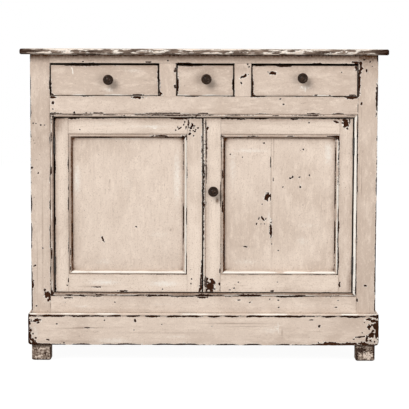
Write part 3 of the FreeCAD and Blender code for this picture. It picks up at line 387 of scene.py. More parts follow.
# Scrapes that show pale paint, by piece: across, up, width and height in mm, and tilt in degrees if any.
SCRAPES = {
    "front_post_right": ((545, 20, 44, 26, -10),),
    "front_post_left": ((-535, 40, 34, 10), (-545, 14, 30, 8, 10)),
    "left_drawer_front": ((-429, 958, 4, 26, 8), (-432, 966, 4, 12, 40)),
    "right_drawer_front": ((330, 901, 5, 20), (320, 906, 4, 14, 30)),
    "left_door_top_rail": ((-163, 771, 14, 5),),
    "right_door_hinge_stile": ((455, 789, 6, 30),),
    "right_door_panel": ((221, 470, 5, 18),),
    "plinth_front": ((247, 116, 2, 40, 4), (247, 119, 34, 2, 14), (244, 110, 24, 2, -48)),
}

# Smears of paler paint, by piece: across, up, width and height in mm, and how pale.
SMEARS = {
    "left_door_panel": (
        (-416, 600, 30, 150, 0.64), (-88, 610, 32, 220, 0.64), (-250, 736, 320, 18, 0.56),
        (-330, 330, 90, 26, 0.5), (-150, 420, 120, 30, 0.45), (-250, 590, 60, 90, 0.42),
    ),
    "right_door_panel": (
        (150, 698, 150, 18, 0.64), (408, 690, 36, 100, 0.64), (96, 640, 30, 160, 0.53),
        (340, 452, 150, 14, 0.53), (330, 400, 60, 40, 0.5), (140, 330, 120, 26, 0.53),
        (215, 480, 12, 60, 0.56),
    ),
    "left_drawer_front": ((-312, 897, 44, 20, 0.64), (-230, 958, 90, 20, 0.5)),
    "right_drawer_front": ((330, 905, 60, 24, 0.53),),
    "left_door_top_rail": ((-180, 776, 180, 14, 0.62), (-330, 784, 120, 12, 0.5)),
    "left_door_bottom_rail": ((-130, 258, 130, 26, 0.7), (-330, 262, 140, 24, 0.66)),
    "plinth_front": (
        (-300, 70, 180, 24, 0.56), (-90, 84, 160, 14, 0.5), (220, 104, 90, 30, 0.53),
        (-556, 100, 30, 60, 0.56),
    ),
    "front_bottom_rail": ((-400, 182, 90, 14, 0.56), (-150, 190, 160, 10, 0.5), (330, 186, 140, 12, 0.5)),
}

# Flush joints and sheltered edges, hardly worn, by piece: from and to across, from and to up, in mm.
FLUSH = {
    "front_post_left": ((-515, -495, 818, 876), (-515, -495, 983, 1020), (-515, -495, 60, 216)),
    "front_post_right": ((495, 515, 818, 876), (495, 515, 983, 1020), (495, 515, 60, 216)),
    "front_top_rail": ((-146, -91, 970, 995), (99, 154, 970, 995)),
    "front_drawer_rail": ((-146, -91, 865, 885), (99, 154, 865, 885)),
    "left_door_hinge_stile": ((-452, -436, 230, 288), (-452, -436, 752, 804)),
    "left_door_meeting_stile": ((-63, -47, 230, 288), (-63, -47, 752, 804)),
    "right_door_hinge_stile": ((436, 452, 230, 288), (436, 452, 752, 804), (480, 492, 230, 804)),
    "right_door_meeting_stile": ((48, 64, 230, 288), (48, 64, 752, 804)),
    "plinth_front": ((-590, -566, 50, 152), (566, 590, 50, 152)),
    "left_door_top_rail": ((-446, -53, 745, 760),),
    "right_door_top_rail": ((58, 446, 745, 760),),
    "left_drawer_front": ((-490, -160, 870, 884),),
    "centre_drawer_front": ((-80, 88, 870, 884),),
    "right_drawer_front": ((166, 490, 870, 884),),
    "drawer_divider_left": ((-100, -90, 878, 976),),
    "drawer_divider_right": ((148, 156, 878, 976),),
}
FLUSH_WEAR = 0.3

# Broad places worn through to the wood, by piece: across, up, width and height in mm, and how far. The rows
# 52 mm up on the front posts are painted shade on the tops of the feet, under the plinth.
WORN = {
    "plinth_front": (
        (-572, 84, 26, 70, 0.42), (-574, 130, 14, 40, 0.36), (-552, 140, 30, 12, 0.34),
        (-562, 62, 40, 12, 0.32), (570, 112, 18, 90, 0.36), (556, 84, 40, 50, 0.32),
        (540, 66, 80, 24, 0.42), (420, 60, 110, 14, 0.42), (300, 57, 70, 7, 0.4),
        (-250, 57, 150, 7, 0.36), (-30, 57, 120, 6, 0.34),
    ),
    "left_drawer_front": ((-498, 925, 6, 90, 0.34), (-300, 975, 300, 4, 0.22)),
    "drawer_divider_left": ((-144, 910, 5, 100, 0.4),),
    "right_drawer_front": ((490, 878, 30, 6, 0.3), (280, 975, 180, 4, 0.26)),
    "centre_drawer_front": ((-85, 930, 8, 80, 0.42), (94, 920, 6, 70, 0.26), (0, 975, 160, 4, 0.26)),
    "front_post_right": (
        (508, 930, 9, 100, 0.5), (511, 972, 16, 34, 0.5), (567, 860, 7, 130, 0.5),
        (568, 640, 9, 300, 0.54), (568, 330, 8, 240, 0.5), (522, 38, 46, 20, 0.85),
        (508, 20, 14, 50, 0.7), (565, 24, 9, 50, 0.6), (540, 52, 70, 8, 0.5),
    ),
    "front_post_left": (
        (-508, 215, 14, 40, 0.42), (-566, 260, 6, 130, 0.42), (-568, 560, 7, 500, 0.5),
        (-524, 26, 20, 7, 0.6), (-550, 26, 16, 5, 0.5), (-538, 52, 70, 6, 0.25), (-506, 24, 7, 50, 0.4),
    ),
    "front_top_rail": ((495, 984, 34, 6, 0.5),),
    "front_drawer_rail": ((-490, 820, 30, 6, 0.4), (430, 820, 120, 5, 0.28), (-492, 874, 24, 7, 0.4)),
    "right_door_meeting_stile": ((24, 250, 30, 40, 0.36), (0, 520, 7, 560, 0.55), (3, 270, 8, 80, 0.45)),
    "left_door_meeting_stile": (
        (-8, 690, 7, 170, 0.45), (-45, 780, 24, 44, 0.26), (-8, 285, 8, 120, 0.5),
    ),
    "left_door_top_rail": ((-72, 778, 28, 40, 0.22), (-450, 800, 60, 7, 0.36)),
    "left_door_hinge_stile": ((-470, 238, 40, 10, 0.32),),
    "door_surround_bead": (
        (-3, 221, 44, 12, 0.45), (-500, 222, 20, 26, 0.5), (-498, 812, 22, 22, 0.42),
        (498, 238, 16, 60, 0.42), (-360, 221, 120, 12, 0.3), (-150, 221, 150, 12, 0.34),
        (140, 221, 150, 12, 0.4), (245, 221, 50, 12, 0.4), (-80, 812, 260, 12, 0.26),
        (498, 660, 12, 90, 0.26),
    ),
    "left_door_panel_moulding": (
        (-62, 744, 34, 20, 0.5), (-180, 745, 70, 10, 0.22), (-60, 290, 16, 26, 0.3),
    ),
    "right_door_panel_moulding": (
        (60, 716, 10, 34, 0.36), (60, 366, 10, 40, 0.36), (436, 742, 26, 20, 0.36),
    ),
}

# Stains, grey hand marks and painted shade, by piece: across, up, width and height in mm, and how dark. The
# rows near 985 mm up on the front posts are grime and painted shade under the top.
STAINS_AND_SHADE = {
    "centre_drawer_front": ((7, 944, 74, 52, 0.34), (-40, 962, 60, 16, 0.2)),
    "left_drawer_front": ((-314, 934, 60, 46, 0.18),),
    "right_drawer_front": ((320, 934, 64, 50, 0.2), (470, 950, 50, 60, 0.14)),
    "right_door_meeting_stile": (
        (44, 534, 9, 17, 0.95), (34, 560, 44, 60, 0.16), (10, 520, 16, 480, 0.2),
    ),
    "right_door_panel": (
        (221, 610, 3, 260, 0.55), (229, 700, 3, 90, 0.35), (224, 470, 5, 200, 0.3),
        (140, 382, 50, 5, 0.15), (195, 560, 70, 90, 0.12), (330, 420, 110, 30, 0.1),
    ),
    "left_door_panel": (
        (-300, 320, 240, 40, 0.12), (-120, 330, 120, 60, 0.14), (-420, 420, 50, 200, 0.1),
    ),
    "left_door_bottom_rail": ((-360, 248, 80, 5, 0.4), (-250, 262, 160, 30, 0.1)),
    "front_post_left": (
        (-532, 985, 60, 60, 0.3), (-540, 700, 60, 260, 0.1), (-530, 420, 4, 300, 0.35),
        (-548, 330, 3, 180, 0.35),
    ),
    "front_post_right": ((536, 984, 62, 64, 0.45), (530, 985, 50, 40, 0.25), (540, 260, 60, 160, 0.1)),
    "front_bottom_rail": ((-260, 168, 300, 10, 0.2), (180, 172, 260, 10, 0.18)),
    "plinth_front": (
        (-382, 112, 90, 3, 0.7), (-440, 110, 70, 3, 0.4), (-120, 96, 260, 6, 0.2),
        (110, 128, 160, 4, 0.45), (150, 118, 120, 3, 0.4), (260, 96, 5, 22, 0.5),
        (330, 88, 200, 16, 0.16), (-420, 66, 200, 8, 0.25), (545, 64, 60, 22, 0.4),
        (480, 130, 160, 40, 0.12), (565, 110, 40, 80, 0.25), (-566, 90, 30, 80, 0.2),
    ),
    "front_top_rail": ((127, 988, 50, 12, 0.2),),
    "drawer_divider_right": ((127, 966, 50, 22, 0.25),),
    "left_door_hinge_stile": ((-476, 778, 22, 64, 0.4),),
    "right_door_hinge_stile": ((482, 262, 14, 64, 0.55),),
    "door_surround_bead": ((496, 250, 12, 64, 0.5),),
}


def lattice_noise(points, scale, seed):
    """Smooth noise from -1 to 1 at points in metres, with scale features to the metre."""
    place = points * scale + seed * 17.31
    cell = np.floor(place).astype(np.int64)
    part = place - cell
    ease = part * part * (3 - 2 * part)
    total = np.zeros(len(points))
    for corner in itertools.product((0, 1), repeat=3):
        x, y, z = (cell + np.array(corner)).T
        mixed = (x * 73856093) ^ (y * 19349663) ^ (z * 83492791)
        mixed = ((mixed ^ (mixed >> 13)) * 1274126177) & 0x7FFFFFFF
        level = ((mixed >> 9) & 0xFFFF) / 32767.5 - 1.0
        total += level * np.prod(np.where(corner, ease, 1 - ease), axis=1)
    return total


def rough_noise(points, scale, seed, octaves=3):
    """Several sizes of smooth noise added up, still from about -1 to 1."""
    layers = (lattice_noise(points, scale * 2 ** k, seed + k) * 0.5 ** k for k in range(octaves))
    return sum(layers) / (2 - 0.5 ** (octaves - 1))


def stretches(points, scale, seed, middle, swing):
    """Noise along a piece, kept from 0 to 1.3."""
    return np.clip(middle + swing * rough_noise(points, scale, seed, 2), 0, 1.3)


def copied_shape(node, mitred):
    """The CAD node's mesh as whole flat faces, with mitred strips joined into one frame."""
    shape = bmesh.new()
    shape.from_mesh(frame["nodes"][node].data)
    if mitred:
        hidden = [
            face for face in shape.faces
            if abs(face.normal.y) < 0.02 and abs(abs(face.normal.x) - abs(face.normal.z)) < 0.02
        ]
        bmesh.ops.delete(shape, geom=hidden, context="FACES_ONLY")
        loose = [edge for edge in shape.edges if not edge.link_faces]
        bmesh.ops.delete(shape, geom=loose, context="EDGES")
    bmesh.ops.remove_doubles(shape, verts=shape.verts, dist=WELD)
    bmesh.ops.dissolve_limit(shape, angle_limit=COPLANAR, verts=shape.verts, edges=shape.edges)
    return shape


def board_shape(boxes):
    """Plain boards between pairs of opposite corners."""
    shape = bmesh.new()
    for low, high in boxes:
        middle = (low + high) / 2
        size = Matrix.Diagonal((*(high - low), 1))
        bmesh.ops.create_cube(shape, size=1, matrix=Matrix.Translation(middle) @ size)
    return shape


def round_arrises(shape, timber):
    """Rounds the worn edges, and gives back where they ran as pairs of end points."""
    chosen = []
    for edge in shape.edges:
        if not edge.is_manifold or not edge.is_convex or edge.calc_face_angle() < SHARP_ARRIS:
            continue
        along = edge.verts[1].co - edge.verts[0].co
        if along.length < SHORTEST_ARRIS:
            continue
        if any(abs(along.normalized().dot(AXES[axis])) > 0.99 for axis in timber.arris):
            chosen.append(edge)
    lines = [[np.array(corner.co) for corner in edge.verts] for edge in chosen]
    if chosen:
        bmesh.ops.bevel(
            shape, geom=chosen, offset=timber.softness * MM, offset_type="OFFSET", segments=2, profile=0.5,
            affect="EDGES", clamp_overlap=True,
        )
    return lines


def grid_places(low, high, step):
    """Where to cut between two faces: close by each face, and then at an even step."""
    span = high - low
    near = [gap for gap in LOOPS_BY_EDGE if gap < span / 2.2]
    start = sum(near[-1:])
    count = max(1, round((span - 2 * start) / step))
    first, last = (0, count) if near else (1, count - 1)
    even = [start + (span - 2 * start) * k / count for k in range(first, last + 1)]
    return [low + place for place in sorted({*near[:-1], *even, *(span - gap for gap in near[:-1])})]


def cut_grid(shape, timber):
    """Cuts the mesh into a grid, the axis with the most cuts last."""
    def cut(axis, place):
        whole = shape.verts[:] + shape.edges[:] + shape.faces[:]
        bmesh.ops.bisect_plane(shape, geom=whole, dist=1e-7, plane_co=axis * place, plane_no=axis)
    points = np.array([corner.co for corner in shape.verts])
    lows, highs = points.min(0), points.max(0)
    for k in np.argsort(highs - lows):
        axis = list(AXES.values())[k]
        for place in grid_places(lows[k], highs[k], timber.grid * MM):
            cut(axis, place)
    for height in timber.cuts:
        cut(AXES["z"], height * MM)


def refine_marks(shape, rows, across):
    """Cuts the outer faces under the marks finely enough to hold their outlines."""
    outer = [
        face for face in shape.faces
        if len(face.verts) == 4 and (face.normal.y < -0.5 if across == 0 else abs(face.normal.x) > 0.5)
    ]
    if not rows or not outer:
        return
    corners = np.array([[corner.co for corner in face.verts] for face in outer])[:, :, [across, 2]]
    low, high = corners.min(1), corners.max(1)
    wanted = np.zeros(len(outer), bool)
    for right, up, width, height, *_ in rows:
        longest = max(width, height)
        reach = np.array((width, height) if abs(width - height) > 12 else (longest, longest)) * 0.8 * MM
        middle = np.array((right, up)) * MM
        wanted |= ((high > middle - reach) & (low < middle + reach)).all(1)
    edges = {edge for face, want in zip(outer, wanted) if want for edge in face.edges}
    if edges:
        longest = max(edge.calc_length() for edge in edges)
        bmesh.ops.subdivide_edges(
            shape, edges=list(edges), cuts=max(1, round(longest / MARK_CELL) - 1), use_grid_fill=True,
        )


def edge_distance(points, lines):
    """Distance from each point to the nearest worn edge."""
    nearest = np.full(len(points), 1.0)
    for start, end in lines:
        along = end - start
        share = np.clip((points - start) @ along / (along @ along), 0, 1)
        nearest = np.minimum(nearest, np.linalg.norm(points - start - share[:, None] * along, axis=1))
    return nearest


def mark_field(points, rows, across, seed):
    """1 at a mark's heart, a half at its ragged outline and 0 well outside."""
    field = np.zeros(len(points))
    ragged = 0.75 * rough_noise(points, 210.0, seed, 2)
    for right, up, width, height, *tilt in rows:
        aside, above = points[:, across] - right * MM, points[:, 2] - up * MM
        turn = math.radians(sum(tilt))
        along = (aside * math.cos(turn) + above * math.sin(turn)) / (width * MM / 2)
        upward = (above * math.cos(turn) - aside * math.sin(turn)) / (height * MM / 2)
        reach = np.hypot(along, upward)
        field = np.maximum(field, np.clip(1.5 - reach + ragged * np.clip(reach, 0, 1.5), 0, 1))
    return field


def soft_field(points, rows):
    """Soft-edged patches on the front, each at its own strength."""
    field = np.zeros(len(points))
    for right, up, width, height, strength in rows:
        reach = np.hypot((points[:, 0] / MM - right) / width, (points[:, 2] / MM - up) / height)
        field = np.maximum(field, strength * np.exp(-((2 * reach) ** 2) / 1.4))
    return field


def flush_share(points, rows):
    """1 along an open edge, and less where two boards meet flush."""
    share = np.ones(len(points))
    x, z = points[:, 0] / MM, points[:, 2] / MM
    for left, right, bottom, top in rows:
        share[(x > left) & (x < right) & (z > bottom) & (z < top)] = FLUSH_WEAR
    return share


def strewn_chips(low, high, count, seed):
    """Chips on the outer sides, in loose clusters, most of them small."""
    dice = np.random.default_rng(seed)
    lows, highs = np.array((low.y, low.z)) / MM, np.array((high.y, high.z)) / MM
    middles = dice.uniform(lows, highs, (count // 4 + 1, 2))
    places = middles[dice.integers(len(middles), size=count)] + dice.normal(0, 32, (count, 2))
    sizes = 2.5 + 8 * dice.random((count, 1)) ** 3 * dice.uniform(0.5, (1.0, 2.2), (count, 2))
    tilts = dice.uniform(-30, 30, (count, 1))
    return tuple(map(tuple, np.hstack((np.clip(places, lows, highs), sizes, tilts))))


def island_numbers(shape):
    """A number for each vertex that tells which separate board it is on."""
    shape.verts.index_update()
    numbers = np.full(len(shape.verts), -1)
    count = 0
    for seed in shape.verts:
        if numbers[seed.index] >= 0:
            continue
        waiting = [seed]
        numbers[seed.index] = count
        while waiting:
            corner = waiting.pop()
            for edge in corner.link_edges:
                other = edge.other_vert(corner)
                if numbers[other.index] < 0:
                    numbers[other.index] = count
                    waiting.append(other)
        count += 1
    return numbers


def no_wear(points, low, high, wear):
    return {}


def top_wear(points, low, high, wear):
    """The top is bitten along its edges and rubbed bare there, and in streaks over its face."""
    inward = np.minimum(TOP_END - abs(points[:, 0]), TOP_FRONT - abs(points[:, 1]))
    rim = np.exp(-((inward / TOP_RIM) ** 2))
    ends = np.clip(1 - (TOP_END - abs(points[:, 0])) / TOP_END_WEAR, 0, 1)
    ends *= np.clip(1 - (points[:, 1] + TOP_FRONT) / TOP_CORNER, 0, 1)
    height = (points[:, 2] - TOP_LOW) / (TOP_HIGH - TOP_LOW)
    band = np.exp(-(((height - 0.6) / 0.16) ** 2)) + np.clip(0.4 - height, 0, 1)
    streaks = rough_noise(points * np.array((0.16, 1.0, 1.0)), 230.0, 63, 4)
    bites = np.clip(0.2 + 0.9 * rough_noise(points, 34.0, 41), 0, 1)
    # Toward the underside the front edge gets more bare wood and a darker tone, partly as painted shade; the
    # rest is wear and grime.
    return {
        "loss": (
            0.30 + 0.14 * rim + 0.24 * rim * band + 0.4 * ends * rim + 0.6 * rim * streaks
            + 0.16 * rough_noise(points * np.array((0.5, 1.0, 1.0)), 11.0, 5)
        ),
        "dirt": rim * (0.9 * np.clip(0.4 - height, 0, 1) + 0.12 + 1.5 * ends + 0.45 * streaks),
        "sink": wear.top_bite * rim * bites,
    }


def under_top(points):
    """Painted shade under the overhang of the top, and a painted shadow line, drawn as lost paint, where the
    top lies on.
    """
    below = np.clip(TOP_LOW - points[:, 2], 0, 1)
    # Painted shade, darkest right under the top.
    shade_under_top = 1.05 * np.clip(1 - below / TOP_SHADE, 0, 1) ** 1.4
    # worn is a painted shadow line just under the top's edge, drawn as lost paint.
    worn = 0.5 * np.exp(-((below / TOP_LINE) ** 2)) * stretches(points, 15.0, 57, 0.9, 0.9)
    return shade_under_top, worn


def rounded_foot(points, low, high):
    """How far points move where the lower end of a post is worn round."""
    above = np.clip((points[:, 2] - low.z) / FOOT_ROUND, 0, 1)
    inset = FOOT_ROUND * (1 - np.sqrt(1 - (1 - above) ** 2))
    aside = 2 * (points - np.array(low + high) / 2) / np.array(high - low)
    return -aside * inset[:, None] * np.array((1, 1, 0))


def rounded_plinth(points):
    """How far points move where the plinth's lower outer corners are worn round."""
    aside = np.clip(abs(points[:, 0]) - PLINTH_END + PLINTH_ROUND, 0, 1)
    below = np.clip(PLINTH_LOW + PLINTH_ROUND - points[:, 2], 0, 1)
    pull = 1 - np.maximum(aside, below) / np.maximum(np.hypot(aside, below), 1e-9)
    pull[(aside == 0) | (below == 0)] = 0
    return np.stack((-np.sign(points[:, 0]) * aside * pull, 0 * pull, below * pull), axis=1)


def frame_wear(points, low, high, wear):
    """Posts, rails and panels get painted shade and a painted shadow line under the top, and the posts' feet
    are worn round.
    """
    is_post = low.z < MM
    shade_under_top, worn = under_top(points)
    return {"dirt": shade_under_top, "loss": worn, "move": rounded_foot(points, low, high) if is_post else 0.0}


def drawer_wear(points, low, high, wear):
    """Drawer fronts are dusty and painted with shade along their upper edges, and rubbed pale along their
    lower ones.
    """
    lower_edge = np.exp(-((points[:, 2] - low.z) / DRAWER_EDGE) ** 2)
    return {
        # Dust and painted shade along the upper edge.
        "dirt": 0.28 * np.exp(-(high.z - points[:, 2]) / DRAWER_DUST_AND_SHADE),
        "pale": lower_edge * stretches(points, 19.0, 15, 0.6, 1.2),
    }


def door_wear(points, low, high, wear):
    """Door frames get painted shade under the bead and along the left door's hinge edge, and panels get
    grime and painted shade along their mouldings and in their corners.
    """
    is_panel = min(high.x - low.x, high.z - low.z) >= LEAST_PANEL
    if not is_panel:
        under_bead = np.clip(DOOR_HIGH - points[:, 2], 0, 1)
        by_bead = np.clip(points[:, 0] - DOOR_LEFT, 0, 1)
        # Painted shade under the bead and beside it on the left; the line of lost paint under the bead is
        # wear.
        return {
            "dirt": 0.52 * np.exp(-under_bead / BEAD_SHADE) + 0.4 * np.exp(-by_bead / BEAD_SIDE),
            "loss": 0.5 * np.exp(-((under_bead / BEAD_LINE) ** 2)) * stretches(points, 17.0, 45, 0.7, 0.8),
        }
    side = "left" if low.x < 0 else "right"
    inner_low, inner_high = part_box(f"{side}_door_panel_moulding")
    gaps = (
        (0.38 if low.x < 0 else 0.47, points[:, 0] - inner_low.x), (0.26, inner_high.x - points[:, 0]),
        (0.16, points[:, 2] - inner_low.z), (0.5, inner_high.z - points[:, 2]),
    )
    inside = [np.clip(gap - MOULDING_WIDTH, 0, 1) for _, gap in gaps]
    corner = np.minimum(inside[0], inside[1]) + np.minimum(inside[2], inside[3])
    # Grime and painted shade along the mouldings, strongest on the panels' left and upper sides, and in the
    # corners.
    by_strips = sum(amount * np.exp(-gap / PANEL_STAIN_AND_SHADE) for (amount, _), gap in zip(gaps, inside))
    return {"dirt": by_strips + 0.7 * np.exp(-corner / PANEL_CORNER)}


class Strip(NamedTuple):
    """How one strip of a moulding has aged, and how much painted shade and highlight it carries."""

    quirk: float  # how worn its outer quirk is
    soil_and_shade: float  # dirt and painted shade, growing toward the inner side
    inner_wear_and_shade: float  # wear and painted shade along its inner side, or painted light there below 0
    crown_highlight: float  # how far its crown is painted white as a highlight
    quirk_at: float = 0.7  # mm from the outer edge to the quirk
    crown_at: float = 0.4  # share of the width from the outer edge to the crown


# The left, right, lower and upper strips of the bead round the doors and of the panels' mouldings. Their
# values differ by side, as painted shade and painted highlights: the panels' left and upper strips carry the
# most painted shade, the right-hand strips the brightest painted highlights.
BEAD_STRIPS = (
    Strip(0.85, 0.45, 0.65, 0.6),
    Strip(2.2, 0.0, -1.0, 1.8),
    Strip(1.1, 0.6, 0.4, 1.0),
    Strip(0.8, 0.3, 0.8, 0.6, quirk_at=3.2),
)
PANEL_STRIPS = (
    Strip(0.7, 0.75, 1.25, 0.5),
    Strip(1.6, 0.15, 1.5, 3.0, crown_at=0.28),
    Strip(0.95, 0.0, 0.5, 2.8, crown_at=0.58),
    Strip(0.4, 0.5, 1.2, 0.4),
)


def moulding_wear(points, low, high, wear):
    """Mouldings are worn bare and darkened with painted shade in their outer quirk and along their inner
    side, and carry painted highlights on their crowns.
    """
    is_bead = high.x - low.x > LEAST_BEAD
    width = (BEAD_WIDTH if is_bead else MOULDING_WIDTH) / MM
    gaps = np.stack((
        points[:, 0] - low.x, high.x - points[:, 0], points[:, 2] - low.z, high.z - points[:, 2],
    ))
    across = gaps.min(0) / MM
    strips = np.array(BEAD_STRIPS if is_bead else PANEL_STRIPS)[gaps.argmin(0)]
    # rubbed here is how far the crown carries a painted highlight.
    worn, soil_and_shade, inner_wear_and_shade, rubbed, quirk_at, crown_at = strips.T
    crown = np.exp(-(((across - crown_at * width) / (0.18 * width)) ** 2))
    quirk = worn * np.exp(-(((across - quirk_at) / 1.8) ** 2)) * stretches(points, 19.0, 9, 0.6, 1.4)
    inside = np.clip((across / width - 0.45) / 0.4, 0, 1)
    inner = np.clip(inner_wear_and_shade, 0, 2) * inside * stretches(points, 17.0, 31, 0.8, 0.9)
    brown = crown * stretches(points, 26.0, 57, 0.0, 1.9) * (0.35 + soil_and_shade)
    crown_highlight = rubbed * crown * stretches(points, 21.0, 83, 0.75, 1.2)
    # loss is wear, with more brown on the crowns of shaded strips as painted shade; pale holds the painted
    # highlights on the crowns, and painted light along the inner side where the value is below 0; the dirt
    # field is painted shade in the quirk, along the inner side and over the shaded strips.
    return {
        "loss": 0.75 * quirk + 0.46 * inner + brown,
        "pale": crown_highlight + 1.4 * np.clip(-inner_wear_and_shade, 0, 1) * inside,
        "dirt": 0.4 * quirk + 0.55 * inner + soil_and_shade * np.clip(1.7 * across / width, 0.25, 1.1),
    }


def plinth_wear(points, low, high, wear):
    """The plinth is knocked at its ends, has a worn, darkened line under its rounded upper edge, and a
    painted highlight along the ridge above that line.
    """
    height = points[:, 2] - PLINTH_LINE
    ends = np.clip(1 - (PLINTH_END - abs(points[:, 0])) / PLINTH_KNOCK, 0, 1)
    ends *= points[:, 1] < PLINTH_FACE + FRONT_WEAR
    waves = GROOVE_WAVE * rough_noise(points, 46.0, 21, 3)
    line = np.exp(-(((height - waves) / GROOVE_WIDTH) ** 2))
    ridge = np.exp(-(((height - RIDGE_ABOVE) / RIDGE_WIDTH) ** 2))
    broken = stretches(points, 31.0, 23, 0.92, 1.2)
    foot_edge = np.exp(-((points[:, 2] - PLINTH_LOW) / PLINTH_FOOT) ** 2)
    foot_edge *= stretches(points, 15.0, 67, 0.55, 0.9)
    return {
        "loss": np.where(points[:, 0] > 0, 0.16, 0.1) * ends + 0.95 * line * broken + 0.55 * foot_edge,
        "dirt": 0.6 * line,
        # A painted highlight along the ridge of the rounded upper edge.
        "pale": 0.8 * ridge * stretches(points, 19.0, 29, 0.5, 1.3),
        "sink": wear.plinth_groove * line,
        "move": rounded_plinth(points),
    }


def piece_seed(timber):
    """A number that gives each piece its own noise and chips."""
    return zlib.crc32(timber.node.encode()) % 997


def marked_axis(timber):
    """The axis across the marked faces: 0 on the front, 1 on the sides."""
    return 1 if timber.strewn else 0


def wear_fields(timber, points, normals, lines, chips, scrapes, wear, hook):
    """What the materials read at each point of a piece, and how far the point sinks and moves."""
    low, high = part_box(timber.node)
    seed = piece_seed(timber)
    across = marked_axis(timber)
    outer = normals[:, 1] < -0.3 if across == 0 else abs(normals[:, 0]) > 0.3
    smears, worn, stains = (
        soft_field(points, table.get(timber.node, ())) for table in (SMEARS, WORN, STAINS_AND_SHADE)
    )
    distance = edge_distance(points, lines)
    rubbed = np.exp(-((distance / (timber.reach * MM)) ** 1.2)) * stretches(points, 23.0, seed, 0.42, 1.7)
    rubbed *= flush_share(points, FLUSH.get(timber.node, ()))
    by_front = np.exp(-(((points[:, 1] - low.y) / FRONT_WEAR) ** 2))
    bites = np.clip(0.25 + 0.9 * rough_noise(points, 60.0, seed + 3, 2), 0, 1)
    bites *= np.exp(-((distance / BITE_REACH) ** 2))
    chip = mark_field(points, chips, across, seed) * outer
    fields = {
        "loss": timber.wear * rubbed + worn * by_front,
        "chip": chip,
        "pale": np.maximum(0.8 * mark_field(points, scrapes, across, seed + 1), smears) * outer,
        # Dirt along the edges, and the stains, which at the posts' tops are painted shade under the top.
        "dirt": timber.soil * np.exp(-distance / SOIL_REACH) + stains * outer,
        "sink": wear.chip_depth * np.clip(chip * 2 - 0.5, 0, 1) + timber.eaten * MM * bites,
        "move": 0.0,
    }
    for label, values in hook(points, low, high, wear).items():
        fields[label] = fields[label] + values
    return fields


def weathered_piece(context, timber, name, materials, shape=None, hook=no_wear, choose=None):
    """A worn copy of a CAD node that stands for it: rounded, cut fine, bitten and chipped."""
    wear = context.scene.cabinet_wear
    seed = piece_seed(timber)
    chips = CHIPS.get(timber.node, ()) + strewn_chips(*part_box(timber.node), timber.strewn, seed)
    scrapes = SCRAPES.get(timber.node, ())
    hairlines = tuple(row for row in STAINS_AND_SHADE.get(timber.node, ()) if min(row[2:4]) < 10)
    if shape is None:
        shape = copied_shape(timber.node, timber.mitred)
    lines = round_arrises(shape, timber)
    cut_grid(shape, timber)
    refine_marks(shape, chips + scrapes + hairlines, marked_axis(timber))
    shape.normal_update()

    points = np.array([corner.co for corner in shape.verts])
    normals = np.array([corner.normal for corner in shape.verts])
    fields = wear_fields(timber, points, normals, lines, chips, scrapes, wear, hook)
    swell = wear.undulation * rough_noise(points, 13.0, 77)
    points = points + normals * (swell - fields.pop("sink"))[:, None] + fields.pop("move")
    boards = island_numbers(shape)
    fields["tint"] = np.full(len(points), timber.tint)
    fields["board"] = np.random.default_rng(seed).random(boards.max() + 1)[boards]
    faces = [[corner.index for corner in face.verts] for face in shape.faces]
    kinds = [choose(face) if choose else 0 for face in shape.faces]
    shape.free()

    mesh = bpy.data.meshes.new(name)
    mesh.from_pydata(points.tolist(), [], faces)
    for material in materials:
        mesh.materials.append(material)
    mesh.polygons.foreach_set("material_index", kinds)
    for label, values in fields.items():
        mesh.attributes.new(label, "FLOAT", "POINT").data.foreach_set("value", values.astype(np.float32))
    mesh.shade_smooth()
    mesh.set_sharp_from_angle(angle=SMOOTH_LIMIT)
    mesh.update()
    piece = bpy.data.objects.new(name, mesh)
    context.scene.collection.objects.link(piece)
    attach(piece, frame["nodes"][timber.node]["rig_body"])
    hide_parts(timber.node)


def frame_surface(face):
    """0 where the cabinet is painted, 1 for raw timber inside, 2 for the feet."""
    middle, normal = face.calc_center_median(), face.normal
    if middle.z < FOOT_HEIGHT:
        return 2
    is_outside = abs(middle.x) > SIDE_FACE - SIDE_REVEAL and middle.y < REAR_FACE - MM
    is_outer_side = is_outside and normal.x * middle.x > -0.3 * abs(middle.x)
    is_front = middle.y < FRONT_POST_REAR - MM and normal.y < 0.5
    return 0 if is_outer_side or is_front else 1


def panel_surface(face):
    """0 on the painted front or outside, 1 on the raw inside."""
    return min(frame_surface(face), 1)


class Noise(NamedTuple):
    """A noise pattern on a board."""

    along: float  # features to the metre along the board
    across: float  # and across it
    detail: float
    roughness: float
    distortion: float = 0.0


class PaintLayer(NamedTuple):
    """A tone that a noise pattern lays over the paint."""

    pattern: Noise
    tone: str
    start: float  # noise where the tone begins
    full: float  # noise where it is strongest
    amount: float  # how strong it is there


PAINT_LAYERS = {
    "clouds": PaintLayer(Noise(5.0, 5.0, 3.0, 0.5), "Warm", 0.4, 0.64, 0.55),
    "blush": PaintLayer(Noise(20.0, 52.0, 5.0, 0.62, 0.3), "Pale", 0.46, 0.66, 0.36),
    "strokes": PaintLayer(Noise(16.0, 190.0, 4.0, 0.62, 0.2), "Warm", 0.52, 0.7, 0.34),
    "rubbed": PaintLayer(Noise(90.0, 210.0, 5.0, 0.7, 0.3), "Pale", 0.53, 0.67, 0.4),
    "grain": PaintLayer(Noise(260.0, 260.0, 4.0, 0.65), "Warm", 0.52, 0.68, 0.7),
    "scuffs": PaintLayer(Noise(24.0, 80.0, 6.0, 0.75, 0.4), "Crack", 0.6, 0.74, 0.42),
}
HAIR_CRACKS = Noise(5.0, 330.0, 2.0, 0.5, 0.1)
GRAIN_BANDS = Noise(1.6, 34.0, 5.0, 0.62, 0.5)
GRAIN_FIBRES = Noise(14.0, 620.0, 3.0, 0.6)
RAGGED_EDGE = Noise(150.0, 150.0, 6.0, 0.68)
SPECK_CLUSTERS = Noise(9.0, 9.0, 2.0, 0.5)
SPECKS = Noise(210.0, 210.0, 1.5, 0.5)
